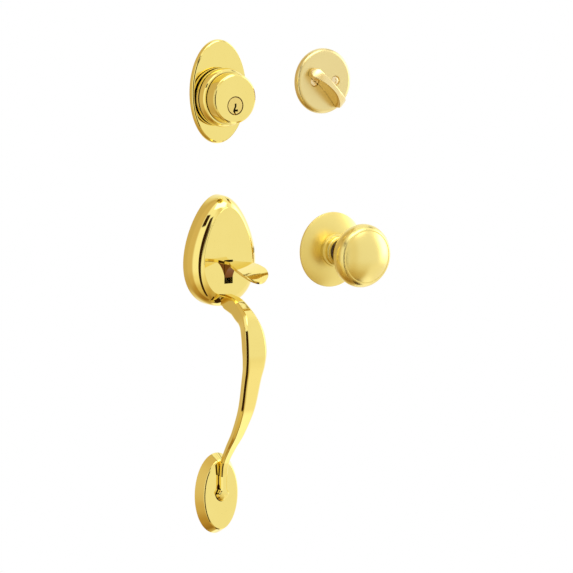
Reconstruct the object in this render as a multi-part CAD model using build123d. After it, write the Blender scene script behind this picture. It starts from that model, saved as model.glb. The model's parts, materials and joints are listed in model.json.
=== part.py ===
from build123d import *
import os
from math import asin, cos, pi, radians, sin, sqrt, tan

os.makedirs("parts", exist_ok=True)

# Entry door handleset in polished brass, in millimetres.
# X runs across the door, Z up, and the door face is Y = 0. All trim stands out towards -Y,
# so "depth" below always means the distance in front of the door face.
# The four units lie side by side on one door face: keyed deadbolt over thumb handle on the left,
# thumbturn over knob on the right. The origin is the latch axis on the door face.

# Places of the units
DEADBOLT_Z = 136.3
TURN_X = 107.3
TURN_Z = 141.8
KNOB_X = 119.0
KNOB_Z = -7.7
FOOT_Z = -213.9

# Clearances
RUN = 0.05
LOOSE = 0.3
THREAD = 0.05
PLATE_GAP = 0.2

# Bolts through the door
BOLT_SPACING = 38.0
BOLT_R = 2.4
BOLT_HOLE = 0.2
BOLT_SHIFT = 1.3
BOLT_HEAD_R = 4.6
BOLT_HEAD = 1.4
BOLT_CROSS = 5.0
BOLT_CROSS_W = 0.9
BOLT_CROSS_DEEP = 0.8
BOLT_BEHIND = 52.0

# Handle escutcheon
ESC_W = 33.0
ESC_H = 48.2
ESC_EGG = 0.23
ESC_DEPTH = 19.2
ESC_BEVEL = 9.5
ESC_WALL = 2.5
SLOT_W = 8.5
SLOT_TOP = -6.4
SLOT_BOTTOM = -26.8
SLOT_PLAY = 0.25
POST_R = 4.0
CHASSIS = 1.6
CHASSIS_UP = 15.2
CHASSIS_SCREW_X = 20.0
CHASSIS_SCREW_UP = 22.2
CHASSIS_SCREW_DOWN = 16.2
CHASSIS_SCREW_R = 1.4
CHASSIS_SCREW_HEAD_R = 2.8
CHASSIS_SCREW_LENGTH = 11.0
CHASSIS_BOSS_R = 3.5

# Thumb latch
THUMB_PIVOT_D = 14.0
THUMB_PIVOT_Z = -10.0
THUMB_PIN_R = 1.5
THUMB_PIN_HALF = 9.8
THUMB_TRAVEL = 20.0
THUMB_KNUCKLE_R = 2.9
PADDLE_REACH = 71.4
PADDLE_HALF = 14.0
PADDLE_THICK = 2.6
PADDLE_DISH = 0.9
TAIL_REACH = 10.3
TAIL_RISE = 6.0
TAIL_NOSE_R = 1.2
TAIL_WIDTH = 4.8
EAR_THICK = 2.6
EAR_INSIDE = 6.4
EAR_R = 3.0

# Latch hub and spindle
HUB_TRAVEL = 26.0
HUB_R = 6.4
HUB_JOURNAL_R = 4.5
HUB_THICK = 5.1
HUB_ARM = 13.2
HUB_ARM_HALF = 2.5
HUB_BOSS_R = 6.6
HUB_BOSS_D = 11.0
SPINDLE = 6.35
SPINDLE_BEHIND = 48.0

# Cast grip
GRIP_REACH = 65.6
GRIP_WIDTH = 20.6
GRIP_THICK = 12.6
GRIP_ROOT_UP = 12.2
GRIP_ROOT_W = 8.8
GRIP_ROOT_THICK = 14.5
GRIP_BEVEL = 1.1
LEG_THICK = 5.3
LEG_WIDTH = 6.2
LEG_DROP = 6.1
TAIL_FLARE = 12.6
GRIP_SCREW_UP = 7.2
GRIP_SCREW_R = 2.4
GRIP_SCREW_HEAD_R = 4.2
GRIP_SCREW_HEAD = 3.2
GRIP_SCREW_LENGTH = 20.0
GRIP_BOSS_R = 5.4
GRIP_BOSS_D = 6.0

# Lower rose under the foot of the grip
ROSE_W = 21.8
ROSE_H = 35.8
ROSE_DEPTH = 9.0
ROSE_BEVEL = 5.6
ROSE_WALL = 2.0
FOOT_POST_UP = 6.9
FOOT_SLEEVE = 1.8
POST_BACK = 0.4
FOOT_POST_R = 4.6
FOOT_BOLT_R = 3.175

# Keyed deadbolt
PLATE_W = 27.75
PLATE_H = 44.3
PLATE_DEPTH = 4.2
PLATE_BEVEL = 1.8
PLATE_WALL = 1.5
CYL_DROP = 4.5
CYL_OUTER_R = 25.1
CYL_FRONT_R = 21.2
CYL_SHOULDER_D = 12.3
CYL_DEPTH = 29.0
CYL_FACE = 2.0
CORE_R = 15.0
CORE_BACK = 2.3
SPIGOT_R = 17.2
PLUG_DROP = 5.8
PLUG_R = 6.4
PLUG_HEAD_R = 7.9
PLUG_TAIL_R = 5.0
PLUG_TAIL = 3.2
PLUG_SINK = 0.15
CAP_R = 7.4
PIN_R = 1.45
PIN_PITCH = 4.0
PIN_SETBACK = 6.0
PIN_MARGIN = 3.0
PIN_COUNT = 5
PIN_STACK = 18.0
DRIVER_PIN = 4.6
TAILPIECE_W = 6.4
TAILPIECE_T = 1.6
TAILPIECE_BEHIND = 60.0

# Thumbturn
TURN_ROSE_R = 28.5
TURN_ROSE_DEPTH = 5.8
TURN_ROSE_EDGE = 4.4
TURN_WALL = 1.5
TURN_ANGLE = -45.0
FIN_LENGTH = 46.0
FIN_WIDTH = 10.2
FIN_WAIST = 5.0
FIN_HEIGHT = 16.0
FIN_FOOT = 2.6
TURN_SHAFT_R = 2.9
TURN_SQUARE = 4.0
TURN_DRIVER_R = 6.0
TURN_DRIVER_FRONT = 2.1
TURN_DRIVER_BEHIND = 14.0
TURN_PIN_R = 0.8
TURN_PIN_BEHIND = 3.0
TURN_GROOVE = 0.8
ROSE_SCREW_SPACING = 22.0
ROSE_SCREW_R = 1.6
ROSE_SCREW_HEAD_R = 3.9
ROSE_SCREW_RIM = 0.4
ROSE_SCREW_DOME = 0.9
ROSE_DIMPLE_R = 4.3
ROSE_DIMPLE = 1.2
DIMPLE_FLOOR = 1.2
TURN_PLATE = 1.6
TURN_PLATE_R = 25.0

# Interior knob
KNOB_ROSE_R = 33.3
KNOB_ROSE_RIM = 1.6
KNOB_ROSE_RISE = 7.4
KNOB_ROSE_WALL = 1.3
COLLAR_R = 14.4
COLLAR_DEPTH = 16.5
KNOB_R = 27.8
KNOB_WAIST_D = 48.5
KNOB_DEPTH = 64.2
KNOB_NECK_R = 10.5
KNOB_NECK = 4.7
KNOB_GAP = 0.8
CATCH_R = 1.5
KNOB_WALL = 1.5
SLEEVE_R = 9.0
SLEEVE_WALL = 1.6
SLEEVE_BEHIND = 3.0
SLEEVE_INSIDE = 8.0
KNOB_PLATE = 1.8
CAGE_DEPTH = 5.2
CAGE_WALL = 0.9


# Shapes that several pieces share

def at_depth(depth):
    """The plane in front of the door at a depth, seen from the room: X to the right, Z up."""
    return Plane((0, -depth, 0), x_dir=(1, 0, 0), z_dir=(0, -1, 0))


def rod(radius, d0, d1, x=0.0, z=0.0):
    """A round bar square to the door, from depth d0 out to depth d1."""
    return extrude(at_depth(d0) * Pos(x, z) * Circle(radius), d1 - d0)


def bar(width, height, d0, d1, x=0.0, z=0.0):
    """A rectangular bar square to the door."""
    return extrude(at_depth(d0) * Pos(x, z) * Rectangle(width, height), d1 - d0)


def turned(edges, x=0.0, z=0.0):
    """A turned, cast or spun piece from edges drawn with radius as x and depth as -y."""
    return Pos(x, 0, z) * revolve(make_face(edges), Axis.Y)


def steps(points):
    """Straight profile edges through (radius, depth) points."""
    return Polyline([(r, -d) for r, d in points])


def cap(radius, edge, top):
    """Profile of a spherical cap, from its rim to its crown on the axis."""
    rise = top - edge
    ball = (radius ** 2 + rise ** 2) / (2 * rise)
    half = asin(radius / ball) / 2
    middle = (ball * sin(half), ball - top - ball * cos(half))
    return ThreePointArc((radius, -edge), middle, (0, -top))


def save(name, shape):
    """Write one node; like pieces share a node as a group of solids."""
    export_step(shape, "parts/" + name + ".step")


def coil(radius, wire, turns, pitch):
    """A round wire spring wound about Z from the origin."""
    path = Helix(pitch=pitch, height=turns * pitch, radius=radius)
    start = Plane(origin=path @ 0, z_dir=path % 0)
    return sweep(start * Circle(wire), path=path)


def along_door(shape, depth, x=0.0, z=0.0):
    """Place a shape built about Z so that its axis is square to the door, growing outward."""
    return Pos(x, -depth, z) * Rot(90, 0, 0) * shape


# Egg and oval covers

def egg_outline(half_w, half_h, egg, depth):
    """Closed outline that is wider below its middle; egg = 0 gives an ellipse."""
    count = 16
    points = []
    for i in range(count):
        t = 2 * pi * i / count
        points.append((half_w * cos(t) * (1 - egg * sin(t)), half_h * sin(t)))
    return at_depth(depth) * make_face(Spline(points, periodic=True))


def cover_body(half_w, half_h, egg, depth, bevel, inset=0.0):
    """Cover with an upright rim that rolls over into a sloping shoulder and a flat face."""
    roll = ((0.0, 0.0), (0.42, 0.05), (0.66, 0.22), (0.86, 0.57), (1.0, 1.0))
    sections = []
    for up, inward in roll:
        shrink = inset + bevel * inward
        sections.append(egg_outline(half_w - shrink, half_h - shrink, egg, depth * up))
    return loft(sections)


def escutcheon_solid():
    return cover_body(ESC_W, ESC_H, ESC_EGG, ESC_DEPTH, ESC_BEVEL)


# Derived places of the thumb latch and hub
SHELF_D = ESC_DEPTH - ESC_WALL
CHASSIS_FRONT = PLATE_GAP + CHASSIS
CHASSIS_LOW = CHASSIS_UP - ESC_H
CHASSIS_SCREW_LOW = CHASSIS_SCREW_UP - ESC_H
CHASSIS_SCREW_TOP = ESC_H - CHASSIS_SCREW_DOWN
GRIP_ROOT_Z = GRIP_ROOT_UP - ESC_H
GRIP_SCREW_Z = GRIP_SCREW_UP - ESC_H
FOOT_POST_Z = FOOT_Z + FOOT_POST_UP
LEG_END = FOOT_Z - LEG_DROP
TONGUE_HALF = SLOT_W / 2 - SLOT_PLAY
HUB_BACK = CHASSIS_FRONT + LOOSE
HUB_FRONT = HUB_BACK + HUB_THICK
HUB_SHAFT_END = SHELF_D - 1.3
NOSE_TOP = (THUMB_PIVOT_Z + TAIL_REACH * sin(radians(THUMB_TRAVEL))
            + TAIL_RISE * cos(radians(THUMB_TRAVEL)) + TAIL_NOSE_R)
FINGER_X = ((NOSE_TOP + 0.37 + HUB_ARM_HALF / cos(radians(HUB_TRAVEL)))
            / tan(radians(HUB_TRAVEL)))


def escutcheon():
    """Hollow cast cover with posts, bearing boss, pivot ears and the slot for the thumbpiece."""
    outer = escutcheon_solid()
    cavity = cover_body(ESC_W, ESC_H, ESC_EGG, SHELF_D, ESC_BEVEL - 1.0, ESC_WALL)
    cover = outer - cavity
    top = CHASSIS_FRONT
    inside = rod(HUB_BOSS_R, HUB_BOSS_D, SHELF_D + 1)
    for side in (-1, 1):
        inside += rod(POST_R, top, SHELF_D + 1, side * BOLT_SPACING / 2, 0)
        inside += rod(CHASSIS_BOSS_R, top, SHELF_D + 1, side * CHASSIS_SCREW_X, CHASSIS_SCREW_LOW)
        ear = bar(EAR_THICK, 2 * EAR_R, THUMB_PIVOT_D, SHELF_D + 1,
                  side * (EAR_INSIDE + EAR_THICK / 2), THUMB_PIVOT_Z)
        hinge = Pos(side * (EAR_INSIDE + EAR_THICK / 2), -THUMB_PIVOT_D, THUMB_PIVOT_Z)
        inside += ear + hinge * Rot(0, 90, 0) * Cylinder(EAR_R, EAR_THICK)
    inside += rod(CHASSIS_BOSS_R, top, SHELF_D + 1, 0, CHASSIS_SCREW_TOP)
    inside += rod(GRIP_BOSS_R, GRIP_BOSS_D, ESC_DEPTH, 0, GRIP_SCREW_Z)
    cover += inside & outer
    cover -= rod(HUB_JOURNAL_R + RUN, 0, HUB_SHAFT_END + LOOSE)
    for side in (-1, 1):
        cover -= rod(BOLT_R - 0.2, 0, SHELF_D - 2, side * BOLT_SPACING / 2, 0)
        cover -= rod(CHASSIS_SCREW_R + THREAD, 0, CHASSIS_SCREW_LENGTH + 1.5,
                     side * CHASSIS_SCREW_X, CHASSIS_SCREW_LOW)
    cover -= rod(CHASSIS_SCREW_R + THREAD, 0, CHASSIS_SCREW_LENGTH + 1.5, 0, CHASSIS_SCREW_TOP)
    cover -= rod(GRIP_SCREW_R + 0.2, 0, ESC_DEPTH + 1, 0, GRIP_SCREW_Z)
    pin_hole = Rot(0, 90, 0) * Cylinder(THUMB_PIN_R + 0.02, 4 * THUMB_PIN_HALF)
    cover -= Pos(0, -THUMB_PIVOT_D, THUMB_PIVOT_Z) * pin_hole
    slot_mid = (SLOT_TOP + SLOT_BOTTOM) / 2
    cover -= bar(SLOT_W, SLOT_TOP - SLOT_BOTTOM, SHELF_D - 1, ESC_DEPTH + 1, 0, slot_mid)
    return cover


def chassis_plate():
    """Stamped steel plate that closes the back of the escutcheon and traps the hub."""
    inset = ESC_WALL + 0.4
    sheet = egg_outline(ESC_W - inset, ESC_H - inset, ESC_EGG, PLATE_GAP)
    plate = extrude(sheet, CHASSIS)
    height = ESC_H - CHASSIS_LOW
    plate &= bar(3 * ESC_W, height, 0, ESC_DEPTH, 0, CHASSIS_LOW + height / 2)
    plate -= rod(SPINDLE * 0.8, -1, ESC_DEPTH)
    for side in (-1, 1):
        plate -= rod(BOLT_R + BOLT_HOLE, -1, ESC_DEPTH, side * BOLT_SPACING / 2, 0)
    for screw in chassis_screw_places():
        plate -= chassis_screw(screw, LOOSE / 2)
    return plate


def chassis_screw_places():
    low = [(side * CHASSIS_SCREW_X, CHASSIS_SCREW_LOW) for side in (-1, 1)]
    return low + [(0.0, CHASSIS_SCREW_TOP)]


def chassis_screw(place, grow=0.0):
    """Countersunk screw, its head flush with the back of the chassis plate."""
    back = PLATE_GAP
    cone = CHASSIS_SCREW_HEAD_R - CHASSIS_SCREW_R
    shank = CHASSIS_SCREW_R + grow
    profile = steps([(0, back), (CHASSIS_SCREW_HEAD_R + grow, back), (shank, back + cone),
                     (shank, CHASSIS_SCREW_LENGTH), (0, CHASSIS_SCREW_LENGTH), (0, back)])
    return turned(profile, place[0], place[1])


def chassis_screws():
    recess = CHASSIS_SCREW_HEAD_R * 1.1
    screws = []
    for place in chassis_screw_places():
        cross = bar(recess, 0.7, PLATE_GAP, PLATE_GAP + 0.9, *place)
        cross += bar(0.7, recess, PLATE_GAP, PLATE_GAP + 0.9, *place)
        screws.append(chassis_screw(place) - cross)
    return Compound(children=screws)


# Thumbpiece

def paddle():
    """Dished leaf that the thumb presses: a curved sheet trimmed to its plan outline."""
    reach = PADDLE_REACH - ESC_DEPTH
    droop = ((-0.05, -6.6), (0.2, -6.1), (0.39, -6.4), (0.58, -8.1), (0.78, -11.4),
             (0.93, -15.6), (1.06, -20.4))
    spots = [(ESC_DEPTH + reach * out, z) for out, z in droop]
    wide = PADDLE_HALF + 1.5
    sections = []
    for i, (depth, height) in enumerate(spots):
        before = spots[max(i - 1, 0)]
        after = spots[min(i + 1, len(spots) - 1)]
        run = (0, before[0] - after[0], after[1] - before[1])
        top = ThreePointArc((-wide, 0), (0, -PADDLE_DISH), (wide, 0))
        edge = Line((wide, 0), (wide, -PADDLE_THICK))
        under = ThreePointArc((wide, -PADDLE_THICK), (0, -PADDLE_DISH - PADDLE_THICK),
                              (-wide, -PADDLE_THICK))
        back = Line((-wide, -PADDLE_THICK), (-wide, 0))
        here = Plane((0, -depth, height), x_dir=(1, 0, 0), z_dir=run)
        sections.append(here * make_face([top, edge, under, back]))
    sheet = loft(sections)
    neck = TONGUE_HALF
    shoulder = ESC_DEPTH + reach * 0.68
    plan = [(neck, ESC_DEPTH - 2), (neck + 1.6, ESC_DEPTH + reach * 0.19),
            (PADDLE_HALF * 0.71, ESC_DEPTH + reach * 0.35),
            (PADDLE_HALF * 0.9, ESC_DEPTH + reach * 0.49), (PADDLE_HALF, shoulder)]
    right = Spline([(x, -d) for x, d in plan])
    left = Spline([(-x, -d) for x, d in plan])
    tip = EllipticalCenterArc((0, -shoulder), PADDLE_HALF, PADDLE_REACH - shoulder,
                              180, arc_size=180)
    close = Line((-neck, -ESC_DEPTH + 2), (neck, -ESC_DEPTH + 2))
    outline = make_face([right, left, tip, close])
    return sheet & extrude(outline, 60, both=True)


def thumbpiece():
    """Cast lever: paddle outside, tongue through the slot, and a tail that lifts the hub arm."""
    half = TONGUE_HALF
    pivot_d = THUMB_PIVOT_D
    pivot_z = THUMB_PIVOT_Z
    knuckle = THUMB_KNUCKLE_R
    tail_back = pivot_d - TAIL_REACH - TAIL_NOSE_R + 0.1
    tail_top = pivot_z - 0.7
    tail_low = pivot_z - 3.6
    lip = SLOT_BOTTOM + 5.3
    top = Line((-pivot_d, pivot_z + knuckle), (-ESC_DEPTH - 1, pivot_z + knuckle - 0.1))
    ramp = Line(top @ 1, (-ESC_DEPTH - 20, -7.6))
    nose = Line(ramp @ 1, (-ESC_DEPTH - 20, -8.8))
    belly = ThreePointArc(nose @ 1, (-ESC_DEPTH - 5, -13.6), (-ESC_DEPTH, lip))
    inner = Polyline([belly @ 1, (-ESC_DEPTH + 3, lip - 0.3), (-pivot_d + 1, tail_low - 1),
                      (-tail_back, tail_low), (-tail_back, tail_top),
                      (-pivot_d + knuckle, tail_top), (-pivot_d + knuckle, pivot_z)])
    crest = ThreePointArc(inner @ 1, (-pivot_d + knuckle * 0.7071, pivot_z + knuckle * 0.7071),
                          top @ 0)
    tongue = extrude(Plane.YZ * make_face([top, ramp, nose, belly, inner, crest]), half, both=True)
    nose_d = pivot_d - TAIL_REACH
    nose_z = pivot_z + TAIL_RISE
    finger_end = FINGER_X + TAIL_WIDTH
    cross = bar(finger_end, tail_top - tail_low, tail_back, tail_back + 4.0,
                -finger_end / 2, (tail_top + tail_low) / 2)
    finger = bar(TAIL_WIDTH, nose_z - tail_low, tail_back, nose_d + TAIL_NOSE_R - 0.1,
                 -FINGER_X - TAIL_WIDTH / 2, (nose_z + tail_low) / 2)
    tip = Pos(-FINGER_X - TAIL_WIDTH / 2, -nose_d, nose_z) * Rot(0, 90, 0)
    finger += tip * Cylinder(TAIL_NOSE_R, TAIL_WIDTH)
    lever = tongue + paddle() + cross + finger
    bore = Rot(0, 90, 0) * Cylinder(THUMB_PIN_R + RUN, 4 * half)
    return lever - Pos(0, -pivot_d, pivot_z) * bore


def thumb_pin():
    pin = chamfer(Cylinder(THUMB_PIN_R, 2 * THUMB_PIN_HALF).edges(), 0.3)
    return Pos(0, -THUMB_PIVOT_D, THUMB_PIVOT_Z) * Rot(0, 90, 0) * pin


def thumb_spring():
    """Torsion spring on the pivot pin, between the tongue and the right ear."""
    wire = 0.35
    turns = 2.0
    pitch = 0.75
    gap = EAR_INSIDE - TONGUE_HALF
    start = TONGUE_HALF + (gap - turns * pitch) / 2
    spring = coil(THUMB_PIN_R + 0.25 + wire, wire, turns, pitch)
    return Pos(start, -THUMB_PIVOT_D, THUMB_PIVOT_Z) * Rot(0, 90, 0) * spring


# Latch hub

def spindle_hub():
    """Hub that turns the latch spindle; the thumbpiece tail lifts its arm."""
    hub = rod(HUB_R, HUB_BACK, HUB_FRONT) + rod(HUB_JOURNAL_R, HUB_FRONT, HUB_SHAFT_END)
    arm = bar(HUB_ARM - HUB_ARM_HALF, 2 * HUB_ARM_HALF, HUB_BACK, HUB_FRONT,
              -(HUB_ARM - HUB_ARM_HALF) / 2, 0)
    arm += rod(HUB_ARM_HALF, HUB_BACK, HUB_FRONT, -(HUB_ARM - HUB_ARM_HALF), 0)
    socket = bar(SPINDLE + 2 * RUN, SPINDLE + 2 * RUN, HUB_BACK - 1, HUB_FRONT - 0.6)
    return hub + arm - socket


def latch_spindle():
    """Square steel spindle through the door, chamfered at its free end."""
    length = HUB_FRONT - 0.6 + SPINDLE_BEHIND
    blank = extrude(at_depth(-SPINDLE_BEHIND) * Rectangle(SPINDLE, SPINDLE), length)
    return chamfer(blank.faces().sort_by(Axis.Y)[-1].edges(), 1.0)


def hub_spring():
    wire = 0.5
    turns = 2.0
    room = HUB_BOSS_D - HUB_FRONT
    pitch = (room - 2 * wire - 2 * RUN) / turns
    start = HUB_FRONT + (room - turns * pitch) / 2
    return along_door(coil(HUB_JOURNAL_R + 0.5 + wire, wire, turns, pitch), start)


# Cast grip

def grip_stations():
    """Front line of the grip from its root on the escutcheon to its foot: each station gives
    (share of the height, share of the outward sweep, width share, thickness share)."""
    foot_front = ROSE_DEPTH + LEG_THICK
    top = ((0.0, 0.0, 0.43, 1.24), (0.012, 0.32, 0.48, 1.3), (0.043, 0.547, 0.56, 1.27),
           (0.086, 0.752, 0.66, 1.18), (0.162, 0.923, 0.9, 1.05), (0.261, 1.0, 1.0, 1.0))
    low = ((0.35, 0.972, 0.94, 0.85), (0.435, 0.889, 0.83, 0.73), (0.6, 0.736, 0.71, 0.67),
           (0.745, 0.474, 0.55, 0.59), (0.838, 0.234, 0.43, 0.5), (0.92, 0.054, 0.34, 0.43))
    foot_z = FOOT_POST_Z + 10.0
    fall = foot_z - GRIP_ROOT_Z
    stations = [(3.0, GRIP_ROOT_Z, GRIP_ROOT_W, GRIP_ROOT_THICK - 4.0),
                (ESC_DEPTH - 9.0, GRIP_ROOT_Z, GRIP_ROOT_W, GRIP_ROOT_THICK)]
    for share, out, wide, thick in top:
        stations.append((ESC_DEPTH + out * (GRIP_REACH - ESC_DEPTH), GRIP_ROOT_Z + share * fall,
                         wide * GRIP_WIDTH, thick * GRIP_THICK))
    for share, out, wide, thick in low:
        stations.append((foot_front + out * (GRIP_REACH - foot_front), GRIP_ROOT_Z + share * fall,
                         wide * GRIP_WIDTH, thick * GRIP_THICK))
    stations.append((foot_front, foot_z, LEG_WIDTH, LEG_THICK))
    return stations


def grip_section(width, thick, bevel):
    """Boxy section with bevelled front corners and a rounded back."""
    half = width / 2
    back = half * 0.92
    corner = min(thick * 0.32, half * 0.6)
    bend = corner * 0.2929
    right = [(half - bevel, 0), (half, -bevel), (back, corner - thick)]
    left = [(-x, y) for x, y in reversed(right)]
    front = Line(left[2], right[0])
    side = Polyline(right)
    turn = ThreePointArc(right[2], (back - bend, bend - thick), (back - corner, -thick))
    base = Line((back - corner, -thick), (corner - back, -thick))
    turn_back = ThreePointArc((corner - back, -thick), (bend - back, bend - thick), left[0])
    return make_face([front, side, turn, base, turn_back, Polyline(left)])


def grip_body():
    stations = grip_stations()
    sections = []
    for i, (depth, height, width, thick) in enumerate(stations):
        before = stations[max(i - 1, 0)]
        after = stations[min(i + 1, len(stations) - 1)]
        run = (0, before[0] - after[0], after[1] - before[1])
        if i in (0, 1):
            run = (0, -1, 0)
        if i == len(stations) - 1:
            run = (0, 0, -1)
        here = Plane((0, -depth, height), x_dir=(1, 0, 0), z_dir=run)
        bevel = GRIP_BEVEL * min(1.0, 1.6 * width / GRIP_WIDTH)
        sections.append(here * grip_section(width, thick, bevel))
    return loft(sections)


def leg_outline(half, flare, start, waist, end):
    """Outline of the leg on the lower rose: straight sides that flare into a rounded tail."""
    bulb = end + flare
    right = [Line((half, start), (half, waist)),
             Spline([(half, waist), (flare, bulb)], tangents=[(0, -1), (0.35, -1)]),
             ThreePointArc((flare, bulb), (flare * 0.62, end + flare * 0.3), (0, end))]
    left = [mirror(edge, Plane.YZ) for edge in right]
    top = Line((-half, start), (half, start))
    return make_face(right + left + [top])


def leg():
    """Foot of the grip: a narrow leg that lies on the lower rose and flares like a fish tail."""
    start = FOOT_POST_Z + 10.5
    waist = FOOT_POST_Z + 1.0
    base = at_depth(ROSE_DEPTH) * leg_outline(LEG_WIDTH / 2, TAIL_FLARE / 2, start, waist, LEG_END)
    crown = at_depth(ROSE_DEPTH + LEG_THICK) * leg_outline(
        LEG_WIDTH / 2 - 0.3, TAIL_FLARE / 2 - 2.6, start, waist - 1.5, LEG_END + 4.6)
    return loft([base, crown], ruled=True)


def grip():
    """One casting: neck seated on the escutcheon, curved grip, leg and threaded post."""
    body = grip_body() + leg()
    body -= escutcheon_solid()
    body -= lower_rose_solid()
    body += rod(FOOT_POST_R, POST_BACK, ROSE_DEPTH + 0.5, 0, FOOT_POST_Z)
    body -= rod(FOOT_BOLT_R - 0.6, 0, ROSE_DEPTH + 2.2, 0, FOOT_POST_Z)
    body -= rod(GRIP_SCREW_R + THREAD, 0, GRIP_BOSS_D + GRIP_SCREW_LENGTH + 1, 0, GRIP_SCREW_Z)
    return body


def grip_screw():
    head = GRIP_BOSS_D - GRIP_SCREW_HEAD
    tip = GRIP_BOSS_D + GRIP_SCREW_LENGTH
    screw = rod(GRIP_SCREW_HEAD_R, head, GRIP_BOSS_D, 0, GRIP_SCREW_Z)
    screw += rod(GRIP_SCREW_R, GRIP_BOSS_D, tip, 0, GRIP_SCREW_Z)
    hexagon = at_depth(head) * Pos(0, GRIP_SCREW_Z) * RegularPolygon(2.3, 6)
    return screw - extrude(hexagon, 1.8)


def lower_rose_solid():
    return Pos(0, 0, FOOT_Z) * cover_body(ROSE_W, ROSE_H, 0.0, ROSE_DEPTH, ROSE_BEVEL)


def lower_rose():
    """Hollow oval rose that the foot of the grip stands on."""
    cavity = cover_body(ROSE_W, ROSE_H, 0.0, ROSE_DEPTH - ROSE_WALL, ROSE_BEVEL - 0.6, ROSE_WALL)
    rose = lower_rose_solid() - Pos(0, 0, FOOT_Z) * cavity
    sleeve = rod(FOOT_POST_R + FOOT_SLEEVE, POST_BACK, ROSE_DEPTH - ROSE_WALL + 0.5, 0, FOOT_POST_Z)
    return rose + sleeve - rod(FOOT_POST_R + 0.1, -1, ROSE_DEPTH + 1, 0, FOOT_POST_Z)


# Keyed deadbolt
CYL_Z = DEADBOLT_Z - CYL_DROP
PLUG_Z = CYL_Z - PLUG_DROP
CORE_FRONT = CYL_DEPTH - CYL_FACE
PLUG_BACK = CORE_BACK - 0.5


def deadbolt_plate():
    """Pressed oval plate behind the cylinder housing."""
    solid = cover_body(PLATE_W, PLATE_H, 0.0, PLATE_DEPTH, PLATE_BEVEL)
    hollow = cover_body(PLATE_W, PLATE_H, 0.0, PLATE_DEPTH - PLATE_WALL, PLATE_BEVEL, PLATE_WALL)
    plate = Pos(0, 0, DEADBOLT_Z) * (solid - hollow)
    plate -= rod(SPIGOT_R + 0.2, -1, PLATE_DEPTH + 1, 0, CYL_Z)
    for side in (-1, 1):
        plate -= rod(POST_R + 0.5, -1, PLATE_DEPTH + 1, side * BOLT_SPACING / 2, CYL_Z)
    return plate


def cylinder_housing():
    """Cast collar round the lock cylinder, with threaded posts that reach the door."""
    outer = [(CYL_OUTER_R, PLATE_DEPTH), (CYL_OUTER_R, CYL_SHOULDER_D)]
    neck = (CYL_FRONT_R + 1.9, CYL_SHOULDER_D + 4.8)
    waist = (CYL_FRONT_R + 1.3, neck[1] + 1.2)
    step = (CYL_FRONT_R + 0.8, waist[1] + 1.1)
    rim = (CYL_FRONT_R, CYL_DEPTH - 1.8)
    face = (CYL_FRONT_R - 1.6, CYL_DEPTH)
    shoulder = ThreePointArc((outer[1][0], -outer[1][1]), (outer[1][0] - 0.75, -outer[1][1] - 2.9),
                             (neck[0], -neck[1]))
    nose = ThreePointArc((rim[0], -rim[1]), (rim[0] - 0.45, -rim[1] - 1.3), (face[0], -face[1]))
    profile = [steps([(SPIGOT_R, POST_BACK), (SPIGOT_R, PLATE_DEPTH), outer[0], outer[1]]), shoulder,
               steps([neck, waist, step, rim]), nose,
               steps([face, (0, CYL_DEPTH), (0, POST_BACK), (SPIGOT_R, POST_BACK)])]
    housing = turned(profile, 0, CYL_Z)
    for side in (-1, 1):
        housing += rod(POST_R, POST_BACK, PLATE_DEPTH + 1, side * BOLT_SPACING / 2, CYL_Z)
    housing -= rod(CORE_R + RUN, -1, CORE_FRONT, 0, CYL_Z)
    housing -= rod(CORE_R + 1.0, CORE_BACK - 1.1, CORE_BACK, 0, CYL_Z)
    housing -= rod(PLUG_HEAD_R + RUN, 0, CYL_DEPTH + 1, 0, PLUG_Z)
    for side in (-1, 1):
        housing -= rod(BOLT_R - 0.2, -1, CYL_SHOULDER_D + 1, side * BOLT_SPACING / 2, CYL_Z)
    return housing


def pin_depths():
    return [CYL_DEPTH - PIN_SETBACK - PIN_PITCH * i for i in range(PIN_COUNT)]


def upright(radius, z0, z1, depth):
    """A round bar standing up between two heights, at a depth on the plug's centre line."""
    return Pos(0, -depth, (z0 + z1) / 2) * Cylinder(radius, z1 - z0)


def cylinder_body():
    """Fixed core of the lock: bore for the plug and a row of pin chambers above it."""
    core = rod(CORE_R, CORE_BACK, CORE_FRONT, 0, CYL_Z)
    core -= rod(PLUG_R + RUN, 0, CYL_DEPTH, 0, PLUG_Z)
    for depth in pin_depths():
        core -= upright(PIN_R + RUN, PLUG_Z, PLUG_Z + PIN_STACK, depth)
    return core - pin_cover_blank(RUN)


def pin_cover_blank(grow):
    """Strip in a slot along the top of the core that closes the pin chambers."""
    first = pin_depths()[0] + PIN_MARGIN
    last = pin_depths()[-1] - PIN_MARGIN
    top = CORE_R + PLUG_DROP - 0.6
    height = top - PIN_STACK + grow
    return bar(4.4 + 2 * grow, height, last - grow, first + grow, 0,
               PLUG_Z + PIN_STACK + height / 2)


def pin_cover():
    return pin_cover_blank(0.0)


def keyway():
    """Crooked slot down the plug, open at its foot, as milled for a notched key."""
    half = 0.62
    line = [(0.3, 1.9), (0.3, -0.6), (-0.9, -3.0), (-1.3, -4.6), (-0.3, -6.2), (-0.3, -8.4)]
    right = [(x + half, z) for x, z in line]
    left = [(x - half, z) for x, z in reversed(line)]
    slot = make_face(Polyline(right + left, close=True))
    ward = Pos(1.3, -3.9) * Rectangle(2.2, 1.3)
    return at_depth(-1) * Pos(0, PLUG_Z) * (slot + ward)


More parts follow.
